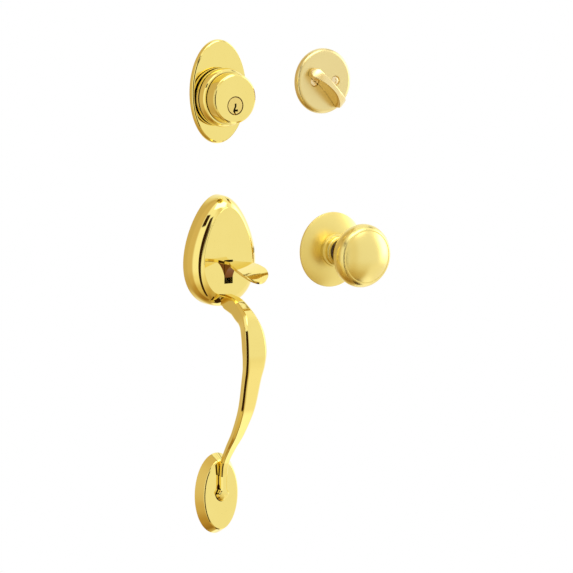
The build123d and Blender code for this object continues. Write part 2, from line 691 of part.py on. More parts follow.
def cylinder_plug():
    """Turning plug: flanged face with the keyway, pin chambers and a threaded tail."""
    back = PLUG_BACK
    plug = rod(PLUG_R, back, CORE_FRONT, 0, PLUG_Z)
    plug += rod(PLUG_HEAD_R, CORE_FRONT, CYL_DEPTH - PLUG_SINK, 0, PLUG_Z)
    plug += rod(PLUG_TAIL_R, back - PLUG_TAIL, back, 0, PLUG_Z)
    plug -= extrude(keyway(), CYL_DEPTH + 4) & bar(40, 40, back + 2.5, CYL_DEPTH + 1, 0, PLUG_Z)
    for depth in pin_depths():
        plug -= upright(PIN_R + RUN, PLUG_Z + 0.4, PLUG_Z + PLUG_R + 1, depth)
    slot_w = TAILPIECE_T + 2 * RUN
    return plug - bar(slot_w, TAILPIECE_W + 2 * RUN, back - 4, back - 0.6, 0, PLUG_Z)


def plug_cap():
    """Threaded ring on the plug's tail that keeps the plug and the tailpiece in."""
    back = PLUG_BACK
    ring = rod(CAP_R, back - PLUG_TAIL, back, 0, PLUG_Z)
    ring -= rod(PLUG_TAIL_R + THREAD, back - PLUG_TAIL - 1, back + 1, 0, PLUG_Z)
    for angle in range(0, 360, 45):
        turn = radians(angle)
        ring -= rod(0.6, back - PLUG_TAIL - 1, back - 1.6, CAP_R * cos(turn), PLUG_Z + CAP_R * sin(turn))
    return ring


def tailpiece():
    """Flat steel blade from the plug through the door to the thumbturn."""
    start = PLUG_BACK - 0.6
    blade = bar(TAILPIECE_T, TAILPIECE_W, -TAILPIECE_BEHIND, start, 0, PLUG_Z)
    tip = bar(TAILPIECE_T * 2, TAILPIECE_W, -TAILPIECE_BEHIND - 1, -TAILPIECE_BEHIND + 2, 0, PLUG_Z)
    return blade - (tip - rod(TAILPIECE_W / 2 - 0.5, -TAILPIECE_BEHIND - 1,
                              -TAILPIECE_BEHIND + 2, 0, PLUG_Z))


def core_clip():
    """Spring ring in a groove behind the core."""
    ring = rod(CORE_R + 0.9, CORE_BACK - 1.05, CORE_BACK - 0.05, 0, CYL_Z)
    ring -= rod(CORE_R - 1.1, -1, 5, 0, CYL_Z)
    return ring - bar(3.0, 6.0, -1, 5, 0, CYL_Z + CORE_R)


def pin_rows():
    """Pins as a cut key lifts them, so that the plug is free to turn."""
    lengths = (4.4, 3.6, 5.0, 4.0, 4.7)
    shear = PLUG_Z + sqrt(PLUG_R ** 2 - PIN_R ** 2) - 0.05
    clear = PLUG_Z + PLUG_R + RUN + 0.05
    key_pins = []
    drivers = []
    springs = []
    for i, depth in enumerate(pin_depths()):
        low = shear - lengths[i % len(lengths)]
        pin = upright(PIN_R, low + 0.9, shear, depth)
        pin += Pos(0, -depth, low + 0.45) * Cone(0.55, PIN_R, 0.9)
        key_pins.append(pin)
        drivers.append(upright(PIN_R, clear, clear + DRIVER_PIN, depth))
        room = PLUG_Z + PIN_STACK - clear - DRIVER_PIN
        turns = 3.0
        wire = 0.25
        spring = coil(PIN_R - wire - 0.1, wire, turns, (room - 2 * wire - 0.1) / turns)
        springs.append(Pos(0, -depth, clear + DRIVER_PIN + wire + 0.05) * spring)
    return key_pins, drivers, springs


# Thumbturn, on the line of the lock's plug and so below the middle of its rose
TURN_AXIS_Z = TURN_Z - PLUG_DROP


def turn_face(depth):
    """Inner surface depth of the thumbturn rose for a given outer depth."""
    return depth - TURN_WALL


def turn_rose():
    """Round rose with a soft rim and two dimples for the fixing screws."""
    flat = TURN_ROSE_R - TURN_ROSE_EDGE
    inner_flat = flat - 0.4
    inner_r = TURN_ROSE_R - TURN_WALL
    deep = turn_face(TURN_ROSE_DEPTH)
    outer = ThreePointArc((TURN_ROSE_R, -TURN_ROSE_DEPTH * 0.28),
                          (TURN_ROSE_R - 1.2, -TURN_ROSE_DEPTH * 0.76), (flat, -TURN_ROSE_DEPTH))
    inner = ThreePointArc((inner_r, -deep * 0.28), (inner_r - 1.1, -deep * 0.76),
                          (inner_flat, -deep))
    profile = [steps([(inner_r, 0), (TURN_ROSE_R, 0), (TURN_ROSE_R, TURN_ROSE_DEPTH * 0.28)]), outer,
               steps([(flat, TURN_ROSE_DEPTH), (0, TURN_ROSE_DEPTH), (0, deep),
                      (inner_flat, deep)]), inner, steps([(inner_r, deep * 0.28), (inner_r, 0)])]
    rose = turned(profile, TURN_X, TURN_Z)
    for side in (-1, 1):
        x = TURN_X + side * ROSE_SCREW_SPACING / 2
        floor = TURN_ROSE_DEPTH - ROSE_DIMPLE
        rose += rod(ROSE_DIMPLE_R + 1.0, floor - DIMPLE_FLOOR, deep + 0.2, x, TURN_Z)
        rose -= rod(ROSE_DIMPLE_R, floor, TURN_ROSE_DEPTH + 1, x, TURN_Z)
        rose -= rod(ROSE_SCREW_R + 0.2, 0, TURN_ROSE_DEPTH + 1, x, TURN_Z)
    return rose - rod(TURN_SHAFT_R + RUN, -1, TURN_ROSE_DEPTH + 1, TURN_X, TURN_AXIS_Z)


def turn_plate():
    """Steel plate on the door, held by the long bolts; the rose screws go into its bosses."""
    plate = rod(TURN_PLATE_R, PLATE_GAP, TURN_PLATE, TURN_X, TURN_Z)
    top = TURN_ROSE_DEPTH - ROSE_DIMPLE - DIMPLE_FLOOR
    for side in (-1, 1):
        x = TURN_X + side * ROSE_SCREW_SPACING / 2
        plate += rod(ROSE_SCREW_R + 1.5, PLATE_GAP, top, x, TURN_Z)
        plate -= rod(ROSE_SCREW_R + THREAD, -1, top + 1, x, TURN_Z)
        plate -= rod(BOLT_R + BOLT_SHIFT, -1, 4, TURN_X + side * BOLT_SPACING / 2, TURN_Z)
    return plate - rod(TURN_DRIVER_R + LOOSE, -1, 5, TURN_X, TURN_AXIS_Z)


def rose_screws():
    """Two oval-head cross-slotted screws."""
    seat = TURN_ROSE_DEPTH - ROSE_DIMPLE
    screws = []
    for side in (-1, 1):
        x = TURN_X + side * ROSE_SCREW_SPACING / 2
        rim = seat + ROSE_SCREW_RIM
        crown = rim + ROSE_SCREW_DOME
        dome = [steps([(0, crown), (0, seat), (ROSE_SCREW_HEAD_R, seat), (ROSE_SCREW_HEAD_R, rim)]),
                cap(ROSE_SCREW_HEAD_R, rim, crown)]
        screw = turned(dome, x, TURN_Z) + rod(ROSE_SCREW_R, 0.5, seat, x, TURN_Z)
        cross = bar(4.2, 0.9, seat + 0.4, seat + 3, x, TURN_Z)
        cross += bar(0.9, 4.2, seat + 0.4, seat + 3, x, TURN_Z)
        screws.append(screw - cross)
    return Compound(children=screws)


def long_bolts(x_mid, z, seat):
    """Two machine screws through the door, their heads on the plate inside the rose."""
    bolts = []
    for side in (-1, 1):
        x = x_mid + side * BOLT_SPACING / 2
        bolt = rod(BOLT_R, -BOLT_BEHIND, seat, x, z) + rod(BOLT_HEAD_R, seat, seat + BOLT_HEAD, x, z)
        top = seat + BOLT_HEAD
        bolt -= bar(BOLT_CROSS, BOLT_CROSS_W, top - BOLT_CROSS_DEEP, top + 1, x, z)
        bolt -= bar(BOLT_CROSS_W, BOLT_CROSS, top - BOLT_CROSS_DEEP, top + 1, x, z)
        bolts.append(bolt)
    return Compound(children=bolts)


def fin():
    """Arched grip of the thumbturn, scooped on both sides, drawn lengthwise along X."""
    base = TURN_ROSE_DEPTH + LOOSE
    half = FIN_LENGTH / 2
    end = base + FIN_FOOT
    arch = [Polyline((-half, end), (-half, base), (half, base), (half, end)),
            ThreePointArc((half, end), (0, base + FIN_HEIGHT), (-half, end))]
    blade = Plane((0, 0, 0), x_dir=(1, 0, 0), z_dir=(0, 0, 1))
    side = [mirror(edge, Plane.XZ) for edge in arch]
    body = extrude(blade * make_face(side), FIN_WIDTH / 2, both=True)
    plan = at_depth(0) * SlotOverall(FIN_LENGTH, FIN_WIDTH)
    body &= extrude(plan, base + FIN_HEIGHT + 5)
    bite = (FIN_WIDTH - FIN_WAIST) / 2
    chord = half - 1.8
    radius = (chord ** 2 + bite ** 2) / (2 * bite)
    for up in (-1, 1):
        centre = up * (FIN_WAIST / 2 + radius)
        body -= rod(radius, 0, base + FIN_HEIGHT + 5, 0, centre)
    return body


def thumbturn():
    """Cast turn: fin outside, round shaft through the rose, square end for the driver."""
    groove_d = turn_face(TURN_ROSE_DEPTH) - 1.1
    base = TURN_ROSE_DEPTH + LOOSE
    turn = fin() + rod(TURN_SHAFT_R, 2.2, base + 0.5)
    turn += bar(TURN_SQUARE, TURN_SQUARE, -6.0, 2.2)
    groove = rod(TURN_SHAFT_R + 1, groove_d, groove_d + TURN_GROOVE) - rod(TURN_SHAFT_R - 0.6, 0, 9)
    turn -= groove
    turn -= Pos(0, TURN_PIN_BEHIND, 0) * Rot(0, 90, 0) * Cylinder(TURN_PIN_R + RUN / 2, 20)
    return place_turn(turn)


def place_turn(shape):
    return Pos(TURN_X, 0, TURN_AXIS_Z) * Rot(0, -TURN_ANGLE, 0) * shape


def turn_clip():
    """Spring clip in the shaft groove, behind the rose."""
    groove_d = turn_face(TURN_ROSE_DEPTH) - 1.1
    clip = rod(TURN_SHAFT_R + 2.1, groove_d + RUN, groove_d + TURN_GROOVE - RUN)
    clip -= rod(TURN_SHAFT_R - 0.6 + RUN, 0, 9)
    return place_turn(clip - bar(3.4, 8, 0, 9, 0, -5.2))


def turn_washer():
    """Flat friction washer between the clip and the rose."""
    deep = turn_face(TURN_ROSE_DEPTH)
    washer = rod(TURN_SHAFT_R + 2.6, deep - 0.3, deep, TURN_X, TURN_AXIS_Z)
    return washer - rod(TURN_SHAFT_R + 0.1, 0, 9, TURN_X, TURN_AXIS_Z)


def turn_driver():
    """Cam on the square end, slotted behind for the tailpiece of the lock."""
    driver = rod(TURN_DRIVER_R, -TURN_DRIVER_BEHIND, TURN_DRIVER_FRONT)
    driver -= bar(TURN_SQUARE + 2 * RUN, TURN_SQUARE + 2 * RUN, -6.1, 3)
    driver -= bar(TAILPIECE_T + 0.5, TAILPIECE_W + 0.6, -TURN_DRIVER_BEHIND - 1, -7.6)
    driver -= Pos(0, TURN_PIN_BEHIND, 0) * Rot(0, 90, 0) * Cylinder(TURN_PIN_R + RUN / 2, 20)
    return place_turn(driver)


def turn_pin():
    pin = Cylinder(TURN_PIN_R, 2 * TURN_DRIVER_R - TURN_PIN_R)
    return place_turn(Pos(0, TURN_PIN_BEHIND, 0) * Rot(0, 90, 0) * pin)


# Interior knob

def rosette_profile(drop):
    """Outline of the spun rosette; drop moves it inward to make the inner surface."""
    rise = KNOB_ROSE_RISE - drop
    rim = (KNOB_ROSE_R - drop, -KNOB_ROSE_RIM + 0.5 * drop)
    foot = (COLLAR_R + 1.6 - 0.4 * drop, -rise)
    return rim, foot


def knob_rosette():
    """Spun rosette: shallow dome with a stepped collar round the knob's neck."""
    rim, foot = rosette_profile(0.0)
    inner_rim, inner_foot = rosette_profile(KNOB_ROSE_WALL)
    belly = ThreePointArc(rim, ((rim[0] + foot[0]) / 2, (rim[1] + foot[1]) / 2 - 0.9), foot)
    inside = ThreePointArc(inner_foot, ((inner_rim[0] + inner_foot[0]) / 2,
                           (inner_rim[1] + inner_foot[1]) / 2 - 0.9), inner_rim)
    bore = SLEEVE_R + 1.0
    top = COLLAR_DEPTH
    rise = KNOB_ROSE_RISE
    ring = steps([(foot[0], rise), (COLLAR_R, rise), (COLLAR_R, rise + 1.7), (COLLAR_R - 1.6, rise + 2.4),
                  (COLLAR_R - 1.6, top - 3.0), (COLLAR_R - 2.6, top - 2.2), (COLLAR_R - 2.6, top),
                  (bore, top), (bore, rise - KNOB_ROSE_WALL), (inner_foot[0], rise - KNOB_ROSE_WALL)])
    lip = steps([(inner_rim[0], -inner_rim[1]), (inner_rim[0], 0), (KNOB_ROSE_R, 0),
                 (KNOB_ROSE_R, KNOB_ROSE_RIM)])
    return turned([belly, ring, inside, lip], KNOB_X, KNOB_Z)


def knob_curve(inner, outer, shares):
    """Points from the end of the knob's neck to its waist, as shares of radius and of depth."""
    start = COLLAR_DEPTH + KNOB_GAP + KNOB_NECK
    span = KNOB_WAIST_D - start
    return [(inner + r * (outer - inner), start + d * span) for r, d in shares]


def catch_depth():
    """Depth of the spring button, in the middle of the knob's straight neck."""
    return COLLAR_DEPTH + 4.0


def knob():
    """Hollow spun knob: neck, flared back, full waist and a shallow domed face."""
    neck_d = COLLAR_DEPTH + KNOB_GAP
    neck_end = neck_d + KNOB_NECK
    bulge = knob_curve(KNOB_NECK_R, KNOB_R, ((0, 0), (0.287, 0.283), (0.58, 0.498), (0.822, 0.679),
                                             (0.962, 0.841), (1, 1)))
    crease = (KNOB_R - 4.2, KNOB_WAIST_D + 7.0)
    bulge += [(KNOB_R - 1.2, KNOB_WAIST_D + 4.2), crease]
    back = Spline([(r, -d) for r, d in bulge], tangents=[(0.15, -1), (-1, -0.55)])
    skin = [steps([(0, neck_d), (KNOB_NECK_R, neck_d), (KNOB_NECK_R, neck_end)]), back,
            cap(crease[0], crease[1], KNOB_DEPTH), Line((0, -KNOB_DEPTH), (0, -neck_d))]
    bore = SLEEVE_R + RUN
    hollow = knob_curve(bore, KNOB_R - KNOB_WALL, ((0, 0.151), (0.56, 0.528), (0.915, 0.815), (1, 1)))
    hollow.append((crease[0] - 0.9, crease[1] - 1.0))
    inner_back = Spline([(r, -d) for r, d in hollow])
    inner_dome = cap(hollow[-1][0], hollow[-1][1], KNOB_DEPTH - KNOB_WALL)
    space = [steps([(0, neck_d - 1), (bore, neck_d - 1), hollow[0]]),
             inner_back, inner_dome, Line((0, -KNOB_DEPTH + KNOB_WALL), (0, 1 - neck_d))]
    shape = turned(skin) - turned(space)
    shape -= upright(CATCH_R + RUN, -KNOB_NECK_R - 1, 0, catch_depth())
    return Pos(KNOB_X, 0, KNOB_Z) * shape


def knob_sleeve():
    """Steel tube that carries the knob and turns in the bushing."""
    end = COLLAR_DEPTH + KNOB_GAP + KNOB_NECK + SLEEVE_INSIDE
    sleeve = rod(SLEEVE_R, -SLEEVE_BEHIND, end)
    sleeve -= rod(SLEEVE_R - SLEEVE_WALL, -SLEEVE_BEHIND - 1, end + 1)
    sleeve -= upright(CATCH_R + RUN, -SLEEVE_R - 1, 0, catch_depth())
    ring_cut = rod(SLEEVE_R + 1, -1.3, -0.3) - rod(SLEEVE_R - 0.6, -2, 1)
    return Pos(KNOB_X, 0, KNOB_Z) * (sleeve - ring_cut)


def knob_catch():
    """Spring button inside the sleeve that locks the knob on."""
    leaf_z = -SLEEVE_R + SLEEVE_WALL + 1.0
    depth = catch_depth()
    button = upright(CATCH_R, -KNOB_NECK_R + 0.4, leaf_z, depth)
    leaf = bar(5.0, 0.8, depth - 8.5, depth + 3.5, 0, leaf_z)
    return Pos(KNOB_X, 0, KNOB_Z) * (button + leaf)


def knob_driver():
    """Steel plug in the sleeve with the square socket for the latch spindle."""
    driver = rod(SLEEVE_R - SLEEVE_WALL - 0.02, -SLEEVE_BEHIND, 8.0)
    driver -= bar(SPINDLE + 0.2, SPINDLE + 0.2, -SLEEVE_BEHIND - 1, 6.5)
    return Pos(KNOB_X, 0, KNOB_Z) * driver


def sleeve_ring():
    """Spring ring that holds the sleeve behind the mounting plate."""
    ring = rod(SLEEVE_R + 2.0, -1.25, -0.35) - rod(SLEEVE_R - 0.55, -2, 1)
    return Pos(KNOB_X, 0, KNOB_Z) * (ring - bar(3.0, 9.0, -2, 1, 0, SLEEVE_R + 1))


def knob_bushing():
    """Nylon bushing between the collar of the rosette and the sleeve."""
    bush = rod(SLEEVE_R + 0.95, 7.0, COLLAR_DEPTH) - rod(SLEEVE_R + RUN, 0, 20)
    return Pos(KNOB_X, 0, KNOB_Z) * bush


def knob_plate():
    """Mounting plate on the door, held by two long bolts, as wide as fits under the rosette."""
    front = PLATE_GAP + KNOB_PLATE
    rim, foot = rosette_profile(KNOB_ROSE_WALL)
    slope = (foot[0] - rim[0]) / (foot[1] - rim[1])
    plate = rod(rim[0] + slope * (-front - rim[1]) - LOOSE, PLATE_GAP, front)
    plate -= rod(SLEEVE_R + RUN, -1, 5)
    for side in (-1, 1):
        plate -= rod(BOLT_R + BOLT_SHIFT, -1, 5, side * BOLT_SPACING / 2, 0)
    return Pos(KNOB_X, 0, KNOB_Z) * plate


def spring_cage():
    """Pressed cup that holds the return spring round the sleeve."""
    back = PLATE_GAP + KNOB_PLATE
    inside = BOLT_SPACING / 2 - BOLT_HEAD_R - LOOSE
    cup = rod(inside, back, CAGE_DEPTH) - rod(inside - CAGE_WALL, back - 1, CAGE_DEPTH - CAGE_WALL)
    cup -= rod(SLEEVE_R + LOOSE, 0, 9)
    return Pos(KNOB_X, 0, KNOB_Z) * cup


def return_spring():
    wire = 0.5
    turns = 1.0
    low = PLATE_GAP + KNOB_PLATE
    room = CAGE_DEPTH - CAGE_WALL - low
    pitch = (room - 2 * wire - 2 * RUN) / turns
    start = low + (room - turns * pitch) / 2
    spring = coil(SLEEVE_R + LOOSE + 0.6 + wire, wire, turns, pitch)
    return along_door(spring, start, KNOB_X, KNOB_Z)


# Write every node

key_pin_row, driver_pin_row, pin_spring_row = pin_rows()

save("deadbolt_plate", deadbolt_plate())
save("cylinder_housing", cylinder_housing())
save("cylinder_body", cylinder_body())
save("core_clip", core_clip())
save("cylinder_plug", cylinder_plug())
save("key_pins", Compound(children=key_pin_row))
save("driver_pins", Compound(children=driver_pin_row))
save("pin_springs", Compound(children=pin_spring_row))
save("pin_cover", pin_cover())
save("plug_cap", plug_cap())
save("tailpiece", tailpiece())

save("turn_rose", turn_rose())
save("turn_plate", turn_plate())
save("thumbturn", thumbturn())
save("turn_clip", turn_clip())
save("turn_washer", turn_washer())
save("turn_driver", turn_driver())
save("turn_pin", turn_pin())
save("rose_screws", rose_screws())
save("turn_bolts", long_bolts(TURN_X, TURN_Z, TURN_PLATE))

save("escutcheon", escutcheon())
save("chassis_plate", chassis_plate())
save("chassis_screws", chassis_screws())
save("thumbpiece", thumbpiece())
save("thumb_pin", thumb_pin())
save("thumb_spring", thumb_spring())
save("spindle_hub", spindle_hub())
save("latch_spindle", latch_spindle())
save("hub_spring", hub_spring())
save("grip", grip())
save("grip_screw", grip_screw())
save("lower_rose", lower_rose())

save("knob_rosette", knob_rosette())
save("knob_plate", knob_plate())
save("spring_cage", spring_cage())
save("return_spring", return_spring())
save("knob_bushing", knob_bushing())
save("knob", knob())
save("knob_sleeve", knob_sleeve())
save("knob_catch", knob_catch())
save("knob_driver", knob_driver())
save("sleeve_ring", sleeve_ring())
save("knob_bolts", long_bolts(KNOB_X, KNOB_Z, PLATE_GAP + KNOB_PLATE))
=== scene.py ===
import json
import math

import bmesh
import bpy
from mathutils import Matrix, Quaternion, Vector


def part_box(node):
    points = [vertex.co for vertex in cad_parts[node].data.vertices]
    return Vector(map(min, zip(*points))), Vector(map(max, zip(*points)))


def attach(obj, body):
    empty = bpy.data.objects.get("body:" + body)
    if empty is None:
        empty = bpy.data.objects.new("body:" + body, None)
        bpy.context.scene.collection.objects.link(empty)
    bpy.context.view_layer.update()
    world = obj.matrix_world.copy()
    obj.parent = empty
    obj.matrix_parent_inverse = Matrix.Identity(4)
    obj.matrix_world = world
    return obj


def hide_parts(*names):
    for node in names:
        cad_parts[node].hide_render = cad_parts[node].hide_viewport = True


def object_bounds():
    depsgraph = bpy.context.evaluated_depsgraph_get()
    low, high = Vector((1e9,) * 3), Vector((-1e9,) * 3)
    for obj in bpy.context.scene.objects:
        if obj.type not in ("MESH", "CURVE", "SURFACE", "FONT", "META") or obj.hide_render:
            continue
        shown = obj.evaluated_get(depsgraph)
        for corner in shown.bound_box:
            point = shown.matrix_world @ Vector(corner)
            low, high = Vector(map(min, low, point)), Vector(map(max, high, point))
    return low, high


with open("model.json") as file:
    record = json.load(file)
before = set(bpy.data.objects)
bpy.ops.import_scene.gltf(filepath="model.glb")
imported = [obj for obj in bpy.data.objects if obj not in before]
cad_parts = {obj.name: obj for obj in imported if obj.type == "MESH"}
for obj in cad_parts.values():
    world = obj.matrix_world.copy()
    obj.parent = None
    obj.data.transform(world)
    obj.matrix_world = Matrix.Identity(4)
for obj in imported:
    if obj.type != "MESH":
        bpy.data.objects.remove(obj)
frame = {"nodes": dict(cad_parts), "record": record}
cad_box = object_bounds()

# The photograph's view. The trim is seen from the left and from a little above, from about two
# metres, with the handle's latch axis left of the middle and a little above it.
VIEW_LEFT = math.radians(33.5)
VIEW_ABOVE = math.radians(8.6)
VIEW_DISTANCE = 2.2
LOOK_RIGHT = 0.0602
LOOK_DOWN = 0.0311
LENS_MM = 160.7
ROLL = math.radians(0.42)

across = Vector((math.cos(VIEW_LEFT), -math.sin(VIEW_LEFT), 0))
away = Vector((math.sin(VIEW_LEFT) * math.cos(VIEW_ABOVE),
               math.cos(VIEW_LEFT) * math.cos(VIEW_ABOVE), -math.sin(VIEW_ABOVE)))
upward = across.cross(away)
camera = bpy.data.objects.new("camera", bpy.data.cameras.new("camera"))
camera.data.lens = LENS_MM
camera.location = across * LOOK_RIGHT - upward * LOOK_DOWN - away * VIEW_DISTANCE
camera.rotation_mode = "QUATERNION"
camera.rotation_quaternion = away.to_track_quat("-Z", "Y") @ Quaternion((0, 0, 1), ROLL)
bpy.context.scene.collection.objects.link(camera)
bpy.context.scene.camera = camera
bpy.context.scene.view_settings.view_transform = "Standard"

# The studio. A pale floor below the trim, a pale wall in the place of the door that shows from the
# room's side only, and soft light all round, with brighter panels overhead, to the right and low in
# front, and narrow dark gaps that draw thin lines on the polished edges.
FLOOR_DROP = 0.06
STUDIO_SIZE = 6.0
WALL_BEHIND = 0.0004
SKY_STRENGTH = 1.28


def node(tree, kind, **settings):
    """Add a shader node and set its fields and unlinked inputs by name."""
    made = tree.nodes.new(kind)
    for name, value in settings.items():
        if name in made.inputs:
            made.inputs[name].default_value = value
        else:
            setattr(made, name, value)
    return made


def wire(tree, source, output, target, socket):
    """Link one node's output to another's input, each by its name or its number."""
    tree.links.new(source.outputs[output], target.inputs[socket])


def group(name, inputs, outputs, kind="ShaderNodeTree"):
    """A new node group with its two end nodes. Inputs and outputs are names under their kinds."""
    tree = bpy.data.node_groups.new(name, kind)
    for side, sockets in (("INPUT", inputs), ("OUTPUT", outputs)):
        for socket_kind, names in sockets.items():
            for socket in names:
                tree.interface.new_socket(socket, in_out=side, socket_type="NodeSocket" + socket_kind)
    return tree, node(tree, "NodeGroupInput"), node(tree, "NodeGroupOutput")


def ramp(tree, stops, fac=None):
    """Add a colour ramp with (place, colour) stops."""
    made = tree.nodes.new("ShaderNodeValToRGB")
    made.color_ramp.interpolation = "EASE"
    while len(made.color_ramp.elements) < len(stops):
        made.color_ramp.elements.new(0.5)
    for element, (place, colour) in zip(made.color_ramp.elements, stops):
        element.position = place
        element.color = (*colour, 1.0)
    if fac is not None:
        tree.links.new(fac, made.inputs["Fac"])
    return made


def flat_sheet(name, corners, material):
    """A four-cornered sheet of the studio, staged and kept out of the reflections."""
    mesh = bpy.data.meshes.new(name)
    mesh.from_pydata(corners, [], [(0, 1, 2, 3)])
    mesh.materials.append(material)
    sheet = bpy.data.objects.new(name, mesh)
    bpy.context.scene.collection.objects.link(sheet)
    sheet.visible_glossy = False


pale = bpy.data.materials.new("pale_backdrop")
pale.use_nodes = True
pale_tree = pale.node_tree
pale_tree.nodes.clear()
pale_out = node(pale_tree, "ShaderNodeOutputMaterial")
pale_mix = node(pale_tree, "ShaderNodeMixShader")
pale_side = node(pale_tree, "ShaderNodeNewGeometry")
pale_glow = node(pale_tree, "ShaderNodeEmission", Color=(1, 1, 1, 1), Strength=1.0)
pale_clear = node(pale_tree, "ShaderNodeBsdfTransparent")
wire(pale_tree, pale_side, "Backfacing", pale_mix, "Fac")
wire(pale_tree, pale_glow, 0, pale_mix, 1)
wire(pale_tree, pale_clear, 0, pale_mix, 2)
wire(pale_tree, pale_mix, 0, pale_out, "Surface")

half = STUDIO_SIZE / 2
floor_z = cad_box[0].z - FLOOR_DROP
flat_sheet("wall", [(-half, WALL_BEHIND, floor_z), (half, WALL_BEHIND, floor_z),
                    (half, WALL_BEHIND, half), (-half, WALL_BEHIND, half)], pale)
flat_sheet("floor", [(-half, -half, floor_z), (half, -half, floor_z),
                     (half, WALL_BEHIND, floor_z), (-half, WALL_BEHIND, floor_z)], pale)

world = bpy.data.worlds.new("studio")
bpy.context.scene.world = world
world.use_nodes = True
sky = world.node_tree
sky.nodes.clear()
sky_out = node(sky, "ShaderNodeOutputWorld")
sky_light = node(sky, "ShaderNodeBackground", Strength=SKY_STRENGTH)
sky_place = node(sky, "ShaderNodeTexCoord")
sky_parts = node(sky, "ShaderNodeSeparateXYZ")
wire(sky, sky_place, "Generated", sky_parts, 0)
sky_flip = node(sky, "ShaderNodeMath", operation="MULTIPLY")
sky_flip.inputs[1].default_value = -1.0
wire(sky, sky_parts, "Y", sky_flip, 0)
sky_turn = node(sky, "ShaderNodeMath", operation="ARCTAN2")
wire(sky, sky_parts, "X", sky_turn, 0)
wire(sky, sky_flip, 0, sky_turn, 1)
sky_round = node(sky, "ShaderNodeMapRange")
sky_round.inputs["From Min"].default_value = -math.pi
sky_round.inputs["From Max"].default_value = math.pi
wire(sky, sky_turn, 0, sky_round, "Value")


def heading(degrees):
    """Place on the ramp round the room: 0 is straight out from the door, positive to the right."""
    return (degrees + 180.0) / 360.0


BRIGHT = (0.86, 0.87, 0.86)
WHITE = (0.78, 0.78, 0.77)
CREAM = (0.70, 0.64, 0.50)
TAN = (0.58, 0.46, 0.29)
SAND = (0.53, 0.42, 0.25)
sky_ring = ramp(sky, [(heading(turn), tone) for turn, tone in (
    (-180, CREAM), (-160, SAND), (-145, SAND), (-132, TAN), (-92, TAN), (-80, BRIGHT), (-45, BRIGHT),
    (-20, CREAM), (0, WHITE), (48, WHITE), (70, BRIGHT), (140, BRIGHT), (165, WHITE), (180, CREAM))],
    sky_round.outputs[0])
sky_rise = ramp(sky, [(0.0, (0.50, 0.34, 0.13)), (0.10, (0.70, 0.55, 0.28)), (0.25, (0.92, 0.86, 0.70)),
                      (0.38, (1.0, 1.0, 1.0)), (1.0, (1.0, 1.0, 1.0))])
sky_height = node(sky, "ShaderNodeMapRange")
sky_height.inputs["From Min"].default_value = -1.0
wire(sky, sky_parts, "Z", sky_height, "Value")
wire(sky, sky_height, 0, sky_rise, "Fac")
sky_mix = node(sky, "ShaderNodeMix", data_type="RGBA", blend_type="MULTIPLY")
sky_mix.inputs["Factor"].default_value = 1.0
wire(sky, sky_ring, "Color", sky_mix, "A")
wire(sky, sky_rise, "Color", sky_mix, "B")


def between(tree, value, given, near, far, soft):
    """Mask of where a value lies between two inputs of a group, with soft edges."""
    both = node(tree, "ShaderNodeMath", operation="MULTIPLY")
    for slot, (limit, sign) in enumerate(((near, 1.0), (far, -1.0))):
        gap = node(tree, "ShaderNodeMath", operation="SUBTRACT")
        tree.links.new(value, gap.inputs[0])
        tree.links.new(given.outputs[limit], gap.inputs[1])
        share = node(tree, "ShaderNodeMath", operation="DIVIDE")
        wire(tree, gap, 0, share, 0)
        tree.links.new(given.outputs[soft], share.inputs[1])
        inside = node(tree, "ShaderNodeMath", operation="MULTIPLY_ADD", use_clamp=True)
        wire(tree, share, 0, inside, 0)
        inside.inputs[1].default_value = sign
        inside.inputs[2].default_value = 0.5
        tree.links.new(inside.outputs[0], both.inputs[slot])
    return both


def panel_group():
    """One panel of the studio, lit or black, between two headings and two heights, over the rest."""
    tree, given, out = group("studio_panel", {
        "Float": ("Heading", "Height", "Left", "Right", "Bottom", "Top", "Edge"),
        "Color": ("Light", "Behind")}, {"Color": ("Color",)})
    cover = node(tree, "ShaderNodeMath", operation="MULTIPLY")
    for slot, (along, near, far) in enumerate((("Heading", "Left", "Right"), ("Height", "Bottom", "Top"))):
        span = between(tree, given.outputs[along], given, near, far, "Edge")
        tree.links.new(span.outputs[0], cover.inputs[slot])
    lay = node(tree, "ShaderNodeMix", data_type="RGBA")
    wire(tree, cover, 0, lay, "Factor")
    wire(tree, given, "Behind", lay, "A")
    wire(tree, given, "Light", lay, "B")
    wire(tree, lay, "Result", out, "Color")
    return tree


studio_panel = panel_group()
sky_lift = node(sky, "ShaderNodeMath", operation="ARCSINE")
wire(sky, sky_parts, "Z", sky_lift, 0)
sky_degrees = {}
for name, turned_from in (("Heading", sky_turn), ("Height", sky_lift)):
    scale = node(sky, "ShaderNodeMath", operation="DEGREES")
    wire(sky, turned_from, 0, scale, 0)
    sky_degrees[name] = scale.outputs[0]

